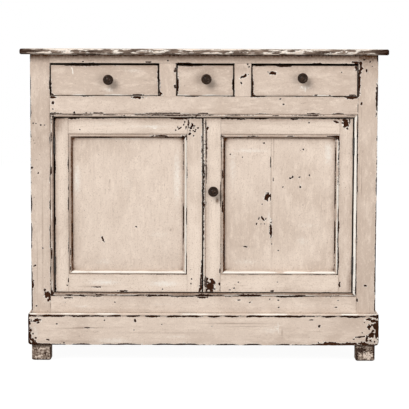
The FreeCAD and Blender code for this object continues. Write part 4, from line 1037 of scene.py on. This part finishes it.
FOOT_PITS = Noise(230.0, 170.0, 3.0, 0.6)
FOOT_PATCHES = Noise(140.0, 140.0, 5.0, 0.72)
TIMBER_STAINS = Noise(5.0, 5.0, 4.0, 0.6)
METAL_PATCHES = Noise(130.0, 130.0, 5.0, 0.65)
METAL_GRAINS = Noise(900.0, 900.0, 2.0, 0.5)


class Wiring:
    """Adds shader nodes to one tree and links them."""

    def __init__(self, tree):
        self.tree = tree

    def feed(self, made, feeds):
        for key, value in feeds.items():
            if isinstance(value, bpy.types.NodeSocket):
                self.tree.links.new(value, made.inputs[key])
            else:
                made.inputs[key].default_value = value
        return made.outputs

    def node(self, kind, feeds=None, **settings):
        made = self.tree.nodes.new(kind)
        for name, value in settings.items():
            setattr(made, name, value)
        return self.feed(made, feeds or {})

    def group(self, tree, feeds):
        return self.node("ShaderNodeGroup", feeds, node_tree=tree)

    def math(self, operation, *values):
        return self.node("ShaderNodeMath", dict(enumerate(values)), operation=operation)[0]

    def weighted(self, first, share, second):
        """Two values mixed by fixed shares that add up to 1."""
        return self.math("MULTIPLY_ADD", first, share, self.math("MULTIPLY", second, 1.0 - share))

    def noise(self, vector, pattern):
        feeds = {
            "Vector": self.stretched(vector, pattern.along, pattern.across), "Scale": 1.0,
            "Detail": pattern.detail, "Roughness": pattern.roughness, "Distortion": pattern.distortion,
        }
        return self.node("ShaderNodeTexNoise", feeds)[0]

    def frayed(self, value, noise, amount):
        """A value that noise raises and lowers by up to half the amount."""
        return self.math("MULTIPLY_ADD", self.math("SUBTRACT", noise, 0.5), amount, value)

    def stretched(self, vector, along, across):
        factors = (along, across, across)
        return self.node("ShaderNodeVectorMath", {0: vector, 1: factors}, operation="MULTIPLY")[0]

    def step(self, value, low, high, to_low=0.0, to_high=1.0):
        feeds = {"Value": value, "From Min": low, "From Max": high, "To Min": to_low, "To Max": to_high}
        return self.node("ShaderNodeMapRange", feeds, interpolation_type="SMOOTHSTEP")[0]

    def mix(self, share, first, second):
        return self.node("ShaderNodeMix", {0: share, 6: first, 7: second}, data_type="RGBA")[2]

    def layers(self, tone, *coats):
        """Colours laid over a tone in turn, each with its share."""
        for share, colour in coats:
            tone = self.mix(share, tone, opaque(colour))
        return tone

    def attribute(self, name):
        return self.node("ShaderNodeAttribute", attribute_name=name)["Fac"]

    def hollows(self, reach):
        """1 in the open, and less in corners and hollows."""
        feeds = {"Distance": reach}
        return self.node("ShaderNodeAmbientOcclusion", feeds, samples=CORNER_SAMPLES)["AO"]

    def along_first(self, run):
        """Object coordinates with the axis along the board first, shifted for each board."""
        parts = self.node("ShaderNodeSeparateXYZ", {0: self.node("ShaderNodeTexCoord")["Object"]})
        order = {"x": "XYZ", "y": "YXZ", "z": "ZXY"}[run]
        turned = self.node("ShaderNodeCombineXYZ", {k: parts[axis] for k, axis in enumerate(order)})[0]
        apart = {0: BOARD_SHIFT, "Scale": self.attribute("board")}
        shift = self.node("ShaderNodeVectorMath", apart, operation="SCALE")[0]
        return self.node("ShaderNodeVectorMath", {0: turned, 1: shift}, operation="ADD")[0]


SOCKETS = {"value": "NodeSocketFloat", "colour": "NodeSocketColor", "vector": "NodeSocketVector"}


def shader_group(name, inputs, outputs, fill):
    """Makes a shader node group. fill takes the wiring and the group's inputs, and gives its outputs."""
    tree = bpy.data.node_groups.new(name, "ShaderNodeTree")
    for label, kind in inputs.items():
        tree.interface.new_socket(name=label, in_out="INPUT", socket_type=SOCKETS[kind])
    for label, kind in outputs.items():
        tree.interface.new_socket(name=label, in_out="OUTPUT", socket_type=SOCKETS[kind])
    wiring = Wiring(tree)
    leave = tree.nodes.new("NodeGroupOutput")
    wiring.feed(leave, fill(wiring, wiring.node("NodeGroupInput")))
    return tree


@functools.cache
def timber_grain():
    """Streaky grain between two colours, with fine fibres."""
    def fill(wiring, given):
        bands = wiring.noise(given["Vector"], GRAIN_BANDS)
        fibres = wiring.noise(given["Vector"], GRAIN_FIBRES)
        share = wiring.step(wiring.weighted(bands, 0.75, fibres), 0.34, 0.66)
        return {
            "Color": wiring.mix(share, given["Dark"], given["Light"]),
            "Height": wiring.weighted(bands, 0.4, fibres),
        }
    return shader_group(
        "Timber grain", {"Vector": "vector", "Light": "colour", "Dark": "colour"},
        {"Color": "colour", "Height": "value"}, fill,
    )


@functools.cache
def brushed_paint():
    """Paint laid on with a brush along the board: faint clouds, strokes and hairline cracks."""
    def fill(wiring, given):
        vector = given["Vector"]
        tone = wiring.mix(wiring.step(given["Tint"], 0.0, 1.0, 0.0, 0.6), given["Paint"], given["Pale"])
        tone = wiring.mix(wiring.step(given["Tint"], 0.0, -1.0, 0.0, 0.8), tone, given["Warm"])
        noises = {}
        for name, layer in PAINT_LAYERS.items():
            noises[name] = wiring.noise(vector, layer.pattern)
            share = wiring.step(noises[name], layer.start, layer.full, 0.0, layer.amount)
            tone = wiring.mix(share, tone, given[layer.tone])
        hairs = wiring.noise(vector, HAIR_CRACKS)
        thin = wiring.step(noises["clouds"], 0.44, 0.6)
        cracked = wiring.math("MULTIPLY", wiring.step(hairs, 0.68, 0.76, 0.0, 0.45), thin)
        relief = wiring.weighted(noises["strokes"], 0.6, noises["grain"])
        return {
            "Color": wiring.mix(cracked, tone, given["Crack"]),
            "Roughness": wiring.step(noises["rubbed"], 0.3, 0.7, 0.74, 0.56),
            "Height": wiring.math("SUBTRACT", relief, cracked),
        }
    colours = dict.fromkeys(("Paint", "Pale", "Warm", "Crack"), "colour")
    return shader_group(
        "Brushed paint", {"Vector": "vector", "Tint": "value", **colours},
        {"Color": "colour", "Roughness": "value", "Height": "value"}, fill,
    )


@functools.cache
def paint_loss():
    """Where paint has gone: ragged edges, chips and specks, the rim round them, and scraped places, which
    also carry painted highlights and painted light.
    """
    def fill(wiring, given):
        vector = given["Vector"]
        ragged = wiring.noise(vector, RAGGED_EDGE)
        edge = wiring.frayed(given["Loss"], ragged, 1.25)
        chip = wiring.frayed(given["Chip"], ragged, 0.8)
        # Scrapes and smears, with the painted highlights on crowns and ridges.
        scrape_and_highlight = wiring.frayed(given["Pale"], ragged, 0.9)
        clusters = wiring.noise(vector, SPECK_CLUSTERS)
        speck = wiring.frayed(wiring.noise(vector, SPECKS), clusters, 0.4)
        gone = wiring.math("MAXIMUM", wiring.step(edge, 0.45, 0.52), wiring.step(chip, 0.44, 0.54))
        bare = wiring.math("MAXIMUM", gone, wiring.step(speck, 0.79, 0.82))
        rim = wiring.math("MAXIMUM", wiring.step(edge, 0.30, 0.45), wiring.step(chip, 0.12, 0.44))
        return {
            "Bare": bare,
            "Rim": wiring.math("SUBTRACT", rim, bare),
            "Scraped": wiring.step(scrape_and_highlight, 0.3, 0.95),
            "Ragged": ragged,
        }
    return shader_group(
        "Paint loss", {"Vector": "vector", "Loss": "value", "Chip": "value", "Pale": "value"},
        {"Bare": "value", "Rim": "value", "Scraped": "value", "Ragged": "value"}, fill,
    )


@functools.cache
def aged_metal():
    """Dark metal, rubbed brighter in patches."""
    def fill(wiring, given):
        patches = wiring.noise(given["Vector"], METAL_PATCHES)
        grains = wiring.noise(given["Vector"], METAL_GRAINS)
        return {
            "Color": wiring.mix(wiring.step(patches, 0.4, 0.7), given["Dark"], given["Bright"]),
            "Roughness": wiring.step(patches, 0.3, 0.7, 0.34, 0.2),
            "Height": wiring.weighted(patches, 0.7, grains),
        }
    return shader_group(
        "Aged metal", {"Vector": "vector", "Dark": "colour", "Bright": "colour"},
        {"Color": "colour", "Roughness": "value", "Height": "value"}, fill,
    )


def new_material(name):
    """A node material, the wiring of its tree and its shader."""
    material = bpy.data.materials.new(name)
    material.use_nodes = True
    return material, Wiring(material.node_tree), material.node_tree.nodes["Principled BSDF"]


def opaque(colour):
    return (*colour, 1.0)


def finish_surface(wiring, shader, colour, roughness, height, bump, gloss=SOFT_GLOSS):
    """Feeds the shader's colour, roughness and bumps."""
    shader.inputs["Specular IOR Level"].default_value = gloss
    normal = wiring.node("ShaderNodeBump", {"Strength": RELIEF, "Distance": bump, "Height": height})[0]
    wiring.feed(shader, {"Base Color": colour, "Roughness": roughness, "Normal": normal})


def worn_paint(wiring, shader, vector, paints, timbers, loss_scale=(1.0, 1.0), grain_scale=(1.0, 1.0)):
    """Paint over timber, with grime and painted shade in its corners, scrapes and painted highlights, and
    bare wood where it has gone.

    The scales draw out the wear and the grain, along and across the board.
    """
    look, wear = bpy.context.scene.cabinet_finish, bpy.context.scene.cabinet_wear
    paint = wiring.group(brushed_paint(), {
        "Vector": vector, "Tint": wiring.attribute("tint"), "Crack": opaque(look.grime_and_shade),
        **{label: opaque(tone) for label, tone in zip(("Paint", "Pale", "Warm"), paints)},
    })
    grain = wiring.group(timber_grain(), {
        "Vector": wiring.stretched(vector, *grain_scale),
        "Light": opaque(timbers[0]), "Dark": opaque(timbers[1]),
    })
    loss = wiring.group(paint_loss(), {
        "Vector": wiring.stretched(vector, *loss_scale),
        **{label: wiring.attribute(label.lower()) for label in ("Loss", "Chip", "Pale")},
    })
    # corners is 1 in the open and less in corners, gaps and hollows; the paint takes painted shade from it.
    corners = wiring.hollows(CORNER_SHADE_REACH)
    # Painted shade in corners, joined with the grime and painted shade that each piece carries.
    soil_and_shade = wiring.math("MAXIMUM", wiring.step(corners, 0.85, 0.3, 0.0, 0.8), wiring.attribute("dirt"))
    dirt = wiring.math("MULTIPLY", soil_and_shade, wiring.step(loss["Ragged"], 0.3, 0.65, 0.6, 1.0))
    paint_with_shade_and_grime = wiring.layers(
        paint["Color"],
        (wiring.math("MULTIPLY", loss["Rim"], 0.8), look.chalk_and_highlight),
        # Grime and painted shade laid over the paint.
        (dirt, look.grime_and_shade),
        # Scrapes and painted highlights in chalk.
        (wiring.math("MULTIPLY", loss["Scraped"], 0.9), look.chalk_and_highlight),
        # Painted shade in dark wood, deep in gaps and hollows.
        (wiring.step(corners, 0.34, 0.08, 0.0, 0.5), look.dark_wood_and_shade),
    )
    # Bare wood darkens under grime and painted shade as well.
    bared = wiring.layers(grain["Color"], (wiring.math("MULTIPLY", dirt, 0.75), look.dark_wood_and_shade))
    tone = wiring.mix(loss["Bare"], paint_with_shade_and_grime, bared)
    kept = wiring.math("SUBTRACT", 1.0, loss["Bare"])
    fine = wiring.mix(loss["Bare"], paint["Height"], grain["Height"])
    height = wiring.math("MULTIPLY_ADD", fine, 0.35, kept)
    roughness = wiring.math("MULTIPLY_ADD", loss["Bare"], 0.15, paint["Roughness"])
    finish_surface(wiring, shader, tone, roughness, height, wear.paint_coat)


@functools.cache
def painted_timber(run):
    """Cream paint, brushed along the board, worn through to dark timber."""
    look = bpy.context.scene.cabinet_finish
    material, wiring, shader = new_material(f"brushed_cream_along_{run}")
    paints = (look.paint, look.pale_paint, look.warm_paint)
    worn_paint(wiring, shader, wiring.along_first(run), paints, (look.brown_wood, look.dark_wood_and_shade))
    return material


@functools.cache
def rubbed_top():
    """Old paint on the top, rubbed away in streaks along the planks."""
    look = bpy.context.scene.cabinet_finish
    material, wiring, shader = new_material("rubbed_top_paint")
    paints = (look.pale_paint, look.chalk_and_highlight, look.warm_paint)
    timbers = (look.top_wood, look.top_dark)
    vector = wiring.along_first("x")
    worn_paint(wiring, shader, vector, paints, timbers, loss_scale=(0.3, 1.6), grain_scale=(12.0, 8.0))
    return material


@functools.cache
def weathered_foot():
    """Grey weathered timber with dark pits, worn edges and the last of the paint."""
    look = bpy.context.scene.cabinet_finish
    material, wiring, shader = new_material("weathered_foot_wood")
    vector = wiring.along_first("z")
    grain = wiring.group(timber_grain(), {
        "Vector": vector, "Light": opaque(look.grey_wood), "Dark": opaque(look.brown_wood),
    })
    pits = wiring.noise(vector, FOOT_PITS)
    patches = wiring.noise(vector, FOOT_PATCHES)
    kept = wiring.frayed(wiring.attribute("pale"), patches, 1.6)
    worn = wiring.frayed(wiring.attribute("loss"), pits, 1.4)
    tone = wiring.layers(
        grain["Color"],
        (wiring.step(patches, 0.49, 0.62, 0.0, 0.75), look.paint),
        (wiring.step(kept, 0.4, 0.6), look.paint),
        (wiring.step(pits, 0.52, 0.64, 0.0, 0.7), look.brown_wood),
        (wiring.step(pits, 0.6, 0.63), look.dark_wood_and_shade),
        (wiring.step(worn, 0.42, 0.56, 0.0, 0.9), look.dark_wood_and_shade),
    )
    height = wiring.math("SUBTRACT", grain["Height"], wiring.step(pits, 0.52, 0.66))
    finish_surface(wiring, shader, tone, wiring.step(pits, 0.3, 0.7, 0.7, 0.92), height, FOOT_RELIEF)
    return material


@functools.cache
def raw_timber(run):
    """Unpainted timber, gone tan with age."""
    look = bpy.context.scene.cabinet_finish
    material, wiring, shader = new_material(f"old_timber_along_{run}")
    vector = wiring.along_first(run)
    grain = wiring.group(timber_grain(), {
        "Vector": vector, "Light": opaque(look.raw_pale), "Dark": opaque(look.raw_dark),
    })
    stains = wiring.noise(vector, TIMBER_STAINS)
    tone = wiring.layers(grain["Color"], (wiring.step(stains, 0.5, 0.75, 0.0, 0.45), look.brown_wood))
    roughness = wiring.step(stains, 0.3, 0.7, 0.62, 0.8)
    finish_surface(wiring, shader, tone, roughness, grain["Height"], TIMBER_RELIEF)
    return material


@functools.cache
def dark_metal(name, finish, metallic, gloss):
    """Old metal, in the colour of one of the finishes."""
    material, wiring, shader = new_material(name)
    tone = tuple(getattr(bpy.context.scene.cabinet_finish, finish))
    bright = tuple(min(1.0, 2.6 * part) for part in tone)
    vector = wiring.node("ShaderNodeTexCoord")["Object"]
    metal = wiring.group(aged_metal(), {"Vector": vector, "Dark": opaque(tone), "Bright": opaque(bright)})
    shader.inputs["Metallic"].default_value = metallic
    soot = tuple(part * 0.3 for part in tone)
    hollows = wiring.hollows(METAL_HOLLOW)
    shaded = wiring.layers(metal["Color"], (wiring.step(hollows, 0.97, 0.6, 0.0, 0.9), soot))
    finish_surface(wiring, shader, shaded, metal["Roughness"], metal["Height"], METAL_RELIEF, gloss)
    return material


def dress_node(node, material):
    """Gives a CAD node that stays in view its material."""
    mesh = frame["nodes"][node].data
    mesh.materials.clear()
    mesh.materials.append(material)


class PaintedPieces:
    """Builds worn painted pieces: their timbers, what tells painted faces from raw ones, and their wear."""

    def execute(self, context):
        timbers, choose, hook = self.pieces
        for timber in timbers:
            materials = [painted_timber(timber.run), raw_timber(timber.run), weathered_foot()]
            name = f"painted_{timber.node}"
            weathered_piece(context, timber, name, materials, hook=hook, choose=choose)
        return {"FINISHED"}


class CABINET_OT_stage(bpy.types.Operator):
    """Sets the camera, the pale floor and the studio lamps"""

    bl_idname = "cabinet.stage"
    bl_label = "Stage"

    def execute(self, context):
        stage = context.scene.cabinet_stage
        camera = bpy.data.objects.new("camera", bpy.data.cameras.new("camera"))
        camera.data.lens = stage.lens
        camera.data.sensor_width = SENSOR
        camera.data.clip_end = CLIP_END
        look = Matrix.Rotation(math.pi / 2 - stage.pitch, 4, "X") @ Matrix.Rotation(stage.roll, 4, "Z")
        camera.matrix_world = Matrix.Translation(stage.eye) @ look
        context.scene.collection.objects.link(camera)
        context.scene.camera = camera
        context.scene.view_settings.view_transform = "Standard"
        self.floor(context)
        for name, (place, size) in LAMPS.items():
            self.lamp(context, f"{name}_lamp", place, size, getattr(stage, name))
        self.surroundings(context, stage.ambient)
        return {"FINISHED"}

    def lamp(self, context, name, place, size, power):
        lamp = bpy.data.objects.new(name, bpy.data.lights.new(name, "AREA"))
        lamp.data.shape = "DISK"
        lamp.data.size = size
        lamp.data.energy = power
        toward = LAMP_TARGET - Vector(place)
        lamp.matrix_world = Matrix.Translation(place) @ toward.to_track_quat("-Z", "Y").to_matrix().to_4x4()
        context.scene.collection.objects.link(lamp)

    def floor(self, context):
        shape = bmesh.new()
        bmesh.ops.create_grid(shape, x_segments=8, y_segments=8, size=FLOOR_HALF)
        mesh = bpy.data.meshes.new("floor")
        shape.to_mesh(mesh)
        shape.free()
        material = bpy.data.materials.new("floor_white")
        material.use_nodes = True
        material.node_tree.nodes.clear()
        wiring = Wiring(material.node_tree)
        bounce = wiring.node("ShaderNodeBsdfDiffuse", {"Color": opaque([FLOOR_BOUNCE] * 3)})[0]
        shaded = wiring.node("ShaderNodeBsdfDiffuse", {"Color": opaque([FLOOR_SHADE] * 3)})[0]
        glow = wiring.node("ShaderNodeEmission", {"Color": WHITE, "Strength": FLOOR_GLOW})[0]
        seen = wiring.node("ShaderNodeAddShader", {0: shaded, 1: glow})[0]
        mixed = wiring.node("ShaderNodeMixShader", {0: self.seen_rays(wiring), 1: bounce, 2: seen})[0]
        wiring.node("ShaderNodeOutputMaterial", {"Surface": mixed})
        mesh.materials.append(material)
        floor = bpy.data.objects.new("floor", mesh)
        floor.location.z = -FLOOR_DROP
        context.scene.collection.objects.link(floor)

    def seen_rays(self, wiring):
        """1 for rays from the camera, and for those that metal and glass send on."""
        rays = wiring.node("ShaderNodeLightPath")
        passed_on = wiring.math("MAXIMUM", rays["Is Glossy Ray"], rays["Is Transmission Ray"])
        return wiring.math("MAXIMUM", rays["Is Camera Ray"], passed_on)

    def surroundings(self, context, ambient):
        world = bpy.data.worlds.new("studio")
        world.use_nodes = True
        world.node_tree.nodes.clear()
        wiring = Wiring(world.node_tree)
        strength = wiring.math("MULTIPLY_ADD", self.seen_rays(wiring), 1.0 - ambient, ambient)
        sky = wiring.node("ShaderNodeBackground", {"Color": WHITE, "Strength": strength})[0]
        wiring.node("ShaderNodeOutputWorld", {"Surface": sky})
        context.scene.world = world


class CABINET_OT_top(bpy.types.Operator):
    """Builds the three worn planks of the top"""

    bl_idname = "cabinet.top"
    bl_label = "Top planks"

    def execute(self, context):
        for timber in TOP_TIMBERS:
            name = f"worn_{timber.node}"
            weathered_piece(context, timber, name, [rubbed_top()], hook=top_wear)
        return {"FINISHED"}


class CABINET_OT_frame(PaintedPieces, bpy.types.Operator):
    """Builds the posts, rails and drawer dividers of the front"""

    bl_idname = "cabinet.front_frame"
    bl_label = "Front frame"
    pieces = FRAME_TIMBERS, frame_surface, frame_wear


class CABINET_OT_sides(PaintedPieces, bpy.types.Operator):
    """Builds the rear posts, side rails and side panels"""

    bl_idname = "cabinet.sides"
    bl_label = "Sides"
    pieces = SIDE_TIMBERS, frame_surface, frame_wear


class CABINET_OT_plinth(PaintedPieces, bpy.types.Operator):
    """Builds the plinth across the front and along the sides"""

    bl_idname = "cabinet.plinth"
    bl_label = "Plinth"
    pieces = PLINTH_TIMBERS, None, plinth_wear


class CABINET_OT_doors(PaintedPieces, bpy.types.Operator):
    """Builds the door frames and panels"""

    bl_idname = "cabinet.doors"
    bl_label = "Doors"
    pieces = DOOR_TIMBERS, panel_surface, door_wear


class CABINET_OT_mouldings(PaintedPieces, bpy.types.Operator):
    """Builds the bead round the doors and the panel mouldings"""

    bl_idname = "cabinet.mouldings"
    bl_label = "Mouldings"
    pieces = MOULDING_TIMBERS, panel_surface, moulding_wear


class CABINET_OT_drawers(PaintedPieces, bpy.types.Operator):
    """Builds the drawer fronts and dresses the drawers' boxes"""

    bl_idname = "cabinet.drawers"
    bl_label = "Drawers"
    pieces = DRAWER_TIMBERS, panel_surface, drawer_wear

    def execute(self, context):
        for place in ("left", "centre", "right"):
            dress_node(f"{place}_drawer_walls", raw_timber("y"))
        return super().execute(context)


class CABINET_OT_inside(bpy.types.Operator):
    """Builds the unpainted timber inside and behind"""

    bl_idname = "cabinet.inside"
    bl_label = "Inside and back"

    def execute(self, context):
        for timber in INSIDE_TIMBERS:
            weathered_piece(context, timber, f"raw_{timber.node}", [raw_timber(timber.run)])
        timber = Timber("back_boards", "z", "xz", softness=1.2, grid=30)
        boards = board_shape(self.back_boxes(*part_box(timber.node)))
        weathered_piece(context, timber, "raw_back_boards", [raw_timber("z")], boards)
        return {"FINISHED"}

    def back_boxes(self, low, high):
        """Corners of the back boards, and of the loose tongues that close the joints between them."""
        joints = np.linspace(low.x, high.x, BACK_BOARDS + 1)
        middle = (low.y + high.y) / 2
        for left, right in zip(joints, joints[1:]):
            yield Vector((left, low.y, low.z)), Vector((right - BACK_GAP, high.y, high.z))
        for joint in joints[1:-1]:
            bottom, top = Vector((joint, middle, low.z + MM)), Vector((joint, middle, high.z - MM))
            yield bottom - TONGUE_HALF, top + TONGUE_HALF


class CABINET_OT_metalwork(bpy.types.Operator):
    """Dresses the knobs, hinges, bolts and latch"""

    bl_idname = "cabinet.metalwork"
    bl_label = "Metalwork"

    def execute(self, context):
        for node in (
            "hinge_post_leaves", "hinge_pins", "hinge_post_screws", "left_door_hinges", "right_door_hinges",
            "bolt_guides", "top_bolt", "bottom_bolt", "door_latch",
        ):
            dress_node(node, dark_metal("aged_iron", "iron", metallic=0.8, gloss=0.4))
        for node in ("left_drawer_knob", "centre_drawer_knob", "right_drawer_knob", "door_knob"):
            dress_node(node, dark_metal("aged_bronze", "bronze", metallic=0.1, gloss=0.14))
        return {"FINISHED"}


class CABINET_PT_build(bpy.types.Panel):
    """Lists the steps that build the cabinet"""

    bl_idname = "CABINET_PT_build"
    bl_label = "Painted buffet cabinet"
    bl_space_type = "VIEW_3D"
    bl_region_type = "UI"
    bl_category = "Cabinet"

    def draw(self, context):
        for step in STEPS:
            self.layout.operator(step.bl_idname)
        for name, group in GROUPS.items():
            box = self.layout.box()
            for label in group.__annotations__:
                box.prop(getattr(context.scene, name), label)


STEPS = (
    CABINET_OT_stage, CABINET_OT_top, CABINET_OT_frame, CABINET_OT_sides, CABINET_OT_plinth,
    CABINET_OT_doors, CABINET_OT_mouldings, CABINET_OT_drawers, CABINET_OT_inside, CABINET_OT_metalwork,
)
GROUPS = {"cabinet_finish": CabinetFinish, "cabinet_wear": CabinetWear, "cabinet_stage": CabinetStage}


def register():
    for made in (*GROUPS.values(), *STEPS, CABINET_PT_build):
        bpy.utils.register_class(made)
    for name, group in GROUPS.items():
        setattr(bpy.types.Scene, name, PointerProperty(type=group))


def unregister():
    for name in GROUPS:
        delattr(bpy.types.Scene, name)
    for made in reversed((*GROUPS.values(), *STEPS, CABINET_PT_build)):
        bpy.utils.unregister_class(made)


def main():
    register()
    bpy.ops.cabinet.stage()
    bpy.ops.cabinet.top()
    bpy.ops.cabinet.front_frame()
    bpy.ops.cabinet.sides()
    bpy.ops.cabinet.plinth()
    bpy.ops.cabinet.doors()
    bpy.ops.cabinet.mouldings()
    bpy.ops.cabinet.drawers()
    bpy.ops.cabinet.inside()
    bpy.ops.cabinet.metalwork()


if __name__ == "__main__":
    main()
